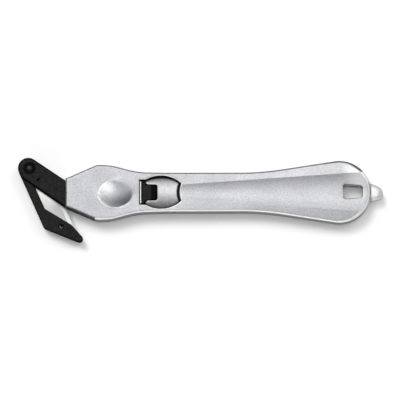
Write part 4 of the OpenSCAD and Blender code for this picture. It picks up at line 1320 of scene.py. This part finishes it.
for piece, finishNames, bodyName, nodeName, slotName in pieces:
    dress(piece, *(finishes[name] for name in finishNames.split()))
    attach(piece, bodyName)
    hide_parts(nodeName)
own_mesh(leverSpring)
for nodeName, finishName in (("lever_pin", "pinSteel"), ("shank_rivet", "studPlastic")):
    for index in range(len(cadNodes[nodeName].data.materials)):
        cadNodes[nodeName].data.materials[index] = finishes[finishName]

# Floor, light and camera
stage = dict(
    floorColour=0.985, floorGlow=0.06, floorSize=24.0, floorParts=12, floorGap=0.0002,
    cameraTilt=8.0, cameraRoll=-0.2, cameraDistance=2.0, sensorWidth=36.0, viewWidth=0.1808,
    target=(0.01763, -0.00374, 0.010),
    skyStops=[(0.0, 0.07), (0.12, 0.22), (0.4, 0.18), (0.6, 0.14), (1.0, 0.27)],
    softbox=dict(toward=(-0.48, 0.6, 0.72), outer=0.92, inner=0.985, level=1.8),
)
lamps = dict(  # direction, strength, angle across
    keyLamp=((-0.32, 0.43, 1.0), 1.2, 22),
    fillLamp=((-0.03, 0.05, 1.0), 0.6, 36),
    rimLamp=((-0.15, -1.0, 0.3), 0.77, 24),
    sideLamp=((0.55, 0.42, 0.8), 0.52, 38),
)


def buildFloor():
    count = stage["floorParts"]
    places = [-stage["floorSize"] / 2 + stage["floorSize"] * i / count for i in range(count + 1)]
    rows = [[i * (count + 1) + j for j in range(count + 1)] for i in range(count + 1)]
    faces = [(rows[i][j], rows[i + 1][j], rows[i + 1][j + 1], rows[i][j + 1])
             for i in range(count) for j in range(count)]
    mesh = bpy.data.meshes.new("Floor")
    mesh.from_pydata([(x, y, 0.0) for x in places for y in places], [], faces)
    floor = addObject("Floor", mesh)
    material, tree, shader = newMaterial("paleFloor", 0.0)
    mottle = noise(tree, objectPlace(tree), 40.0, Detail=2.0)
    feed(shader["Base Color"], mixColour(tree, mottle, stage["floorColour"] - 0.005, stage["floorColour"]))
    feed(shader["Roughness"], 0.9)
    feed(shader["Specular IOR Level"], 0.0)
    seen = addNode(tree, "LightPath").outputs["Is Camera Ray"]
    feed(shader["Emission Strength"], times(tree, seen, stage["floorGlow"]))
    dress(floor, material)
    floor.location.z = -stage["floorGap"]


def addLamp(name, toward, strength, angle):
    # a soft lamp far off, in the direction given
    data = bpy.data.lights.new(name, "SUN")
    data.energy = strength
    data.angle = math.radians(angle)
    lamp = addObject(name, data)
    lamp.location = Vector(toward).normalized() * 2
    lamp.rotation_euler = Vector(toward).to_track_quat("Z", "Y").to_euler()


def buildWorld():
    # a pale studio: bright band at the horizon, softer overhead
    world = bpy.data.worlds.new("studio")
    bpy.context.scene.world = world
    world.use_nodes = True
    tree = world.node_tree
    tree.nodes.clear()
    place = addNode(tree, "TexCoord").outputs["Generated"]
    ramp = addNode(tree, "ValToRGB", Fac=addNode(tree, "SeparateXYZ", Vector=place).outputs["Z"])
    stops = ramp.color_ramp.elements
    while len(stops) < len(stage["skyStops"]):
        stops.new(0.5)
    for stop, (height, level) in zip(stops, stage["skyStops"]):
        stop.position = height
        stop.color = (level, level, level, 1.0)
    box = stage["softbox"]
    toward = addNode(tree, "VectorMath", operation="DOT_PRODUCT")
    feed(toward.inputs[0], place)
    feed(toward.inputs[1], Vector(box["toward"]).normalized())
    lit = spread(tree, toward.outputs["Value"], box["outer"], box["inner"], 0.0, box["level"])
    glow = addNode(tree, "Background", Color=calc(tree, "ADD", ramp.outputs["Color"], lit))
    addNode(tree, "OutputWorld", Surface=glow.outputs["Background"])


def buildCamera():
    tilt, roll = math.radians(stage["cameraTilt"]), math.radians(stage["cameraRoll"])
    back = Vector((0, -math.sin(tilt), math.cos(tilt)))
    side = Vector((1, 0, 0))
    upward = back.cross(side)
    side, upward = side * math.cos(roll) + upward * math.sin(roll), upward * math.cos(roll) - side * math.sin(roll)
    turn = Matrix((side, upward, back)).transposed().to_4x4()
    data = bpy.data.cameras.new("camera")
    data.sensor_width = stage["sensorWidth"]
    data.lens = stage["sensorWidth"] * stage["cameraDistance"] / stage["viewWidth"]
    data.clip_end = 50.0
    camera = addObject("camera", data)
    camera.matrix_world = Matrix.Translation(Vector(stage["target"]) + back * stage["cameraDistance"]) @ turn
    bpy.context.scene.camera = camera


buildFloor()
buildWorld()
for lampName, lamp in lamps.items():
    addLamp(lampName, *lamp)
buildCamera()
bpy.context.scene.view_settings.view_transform = "Standard"
print("stage")
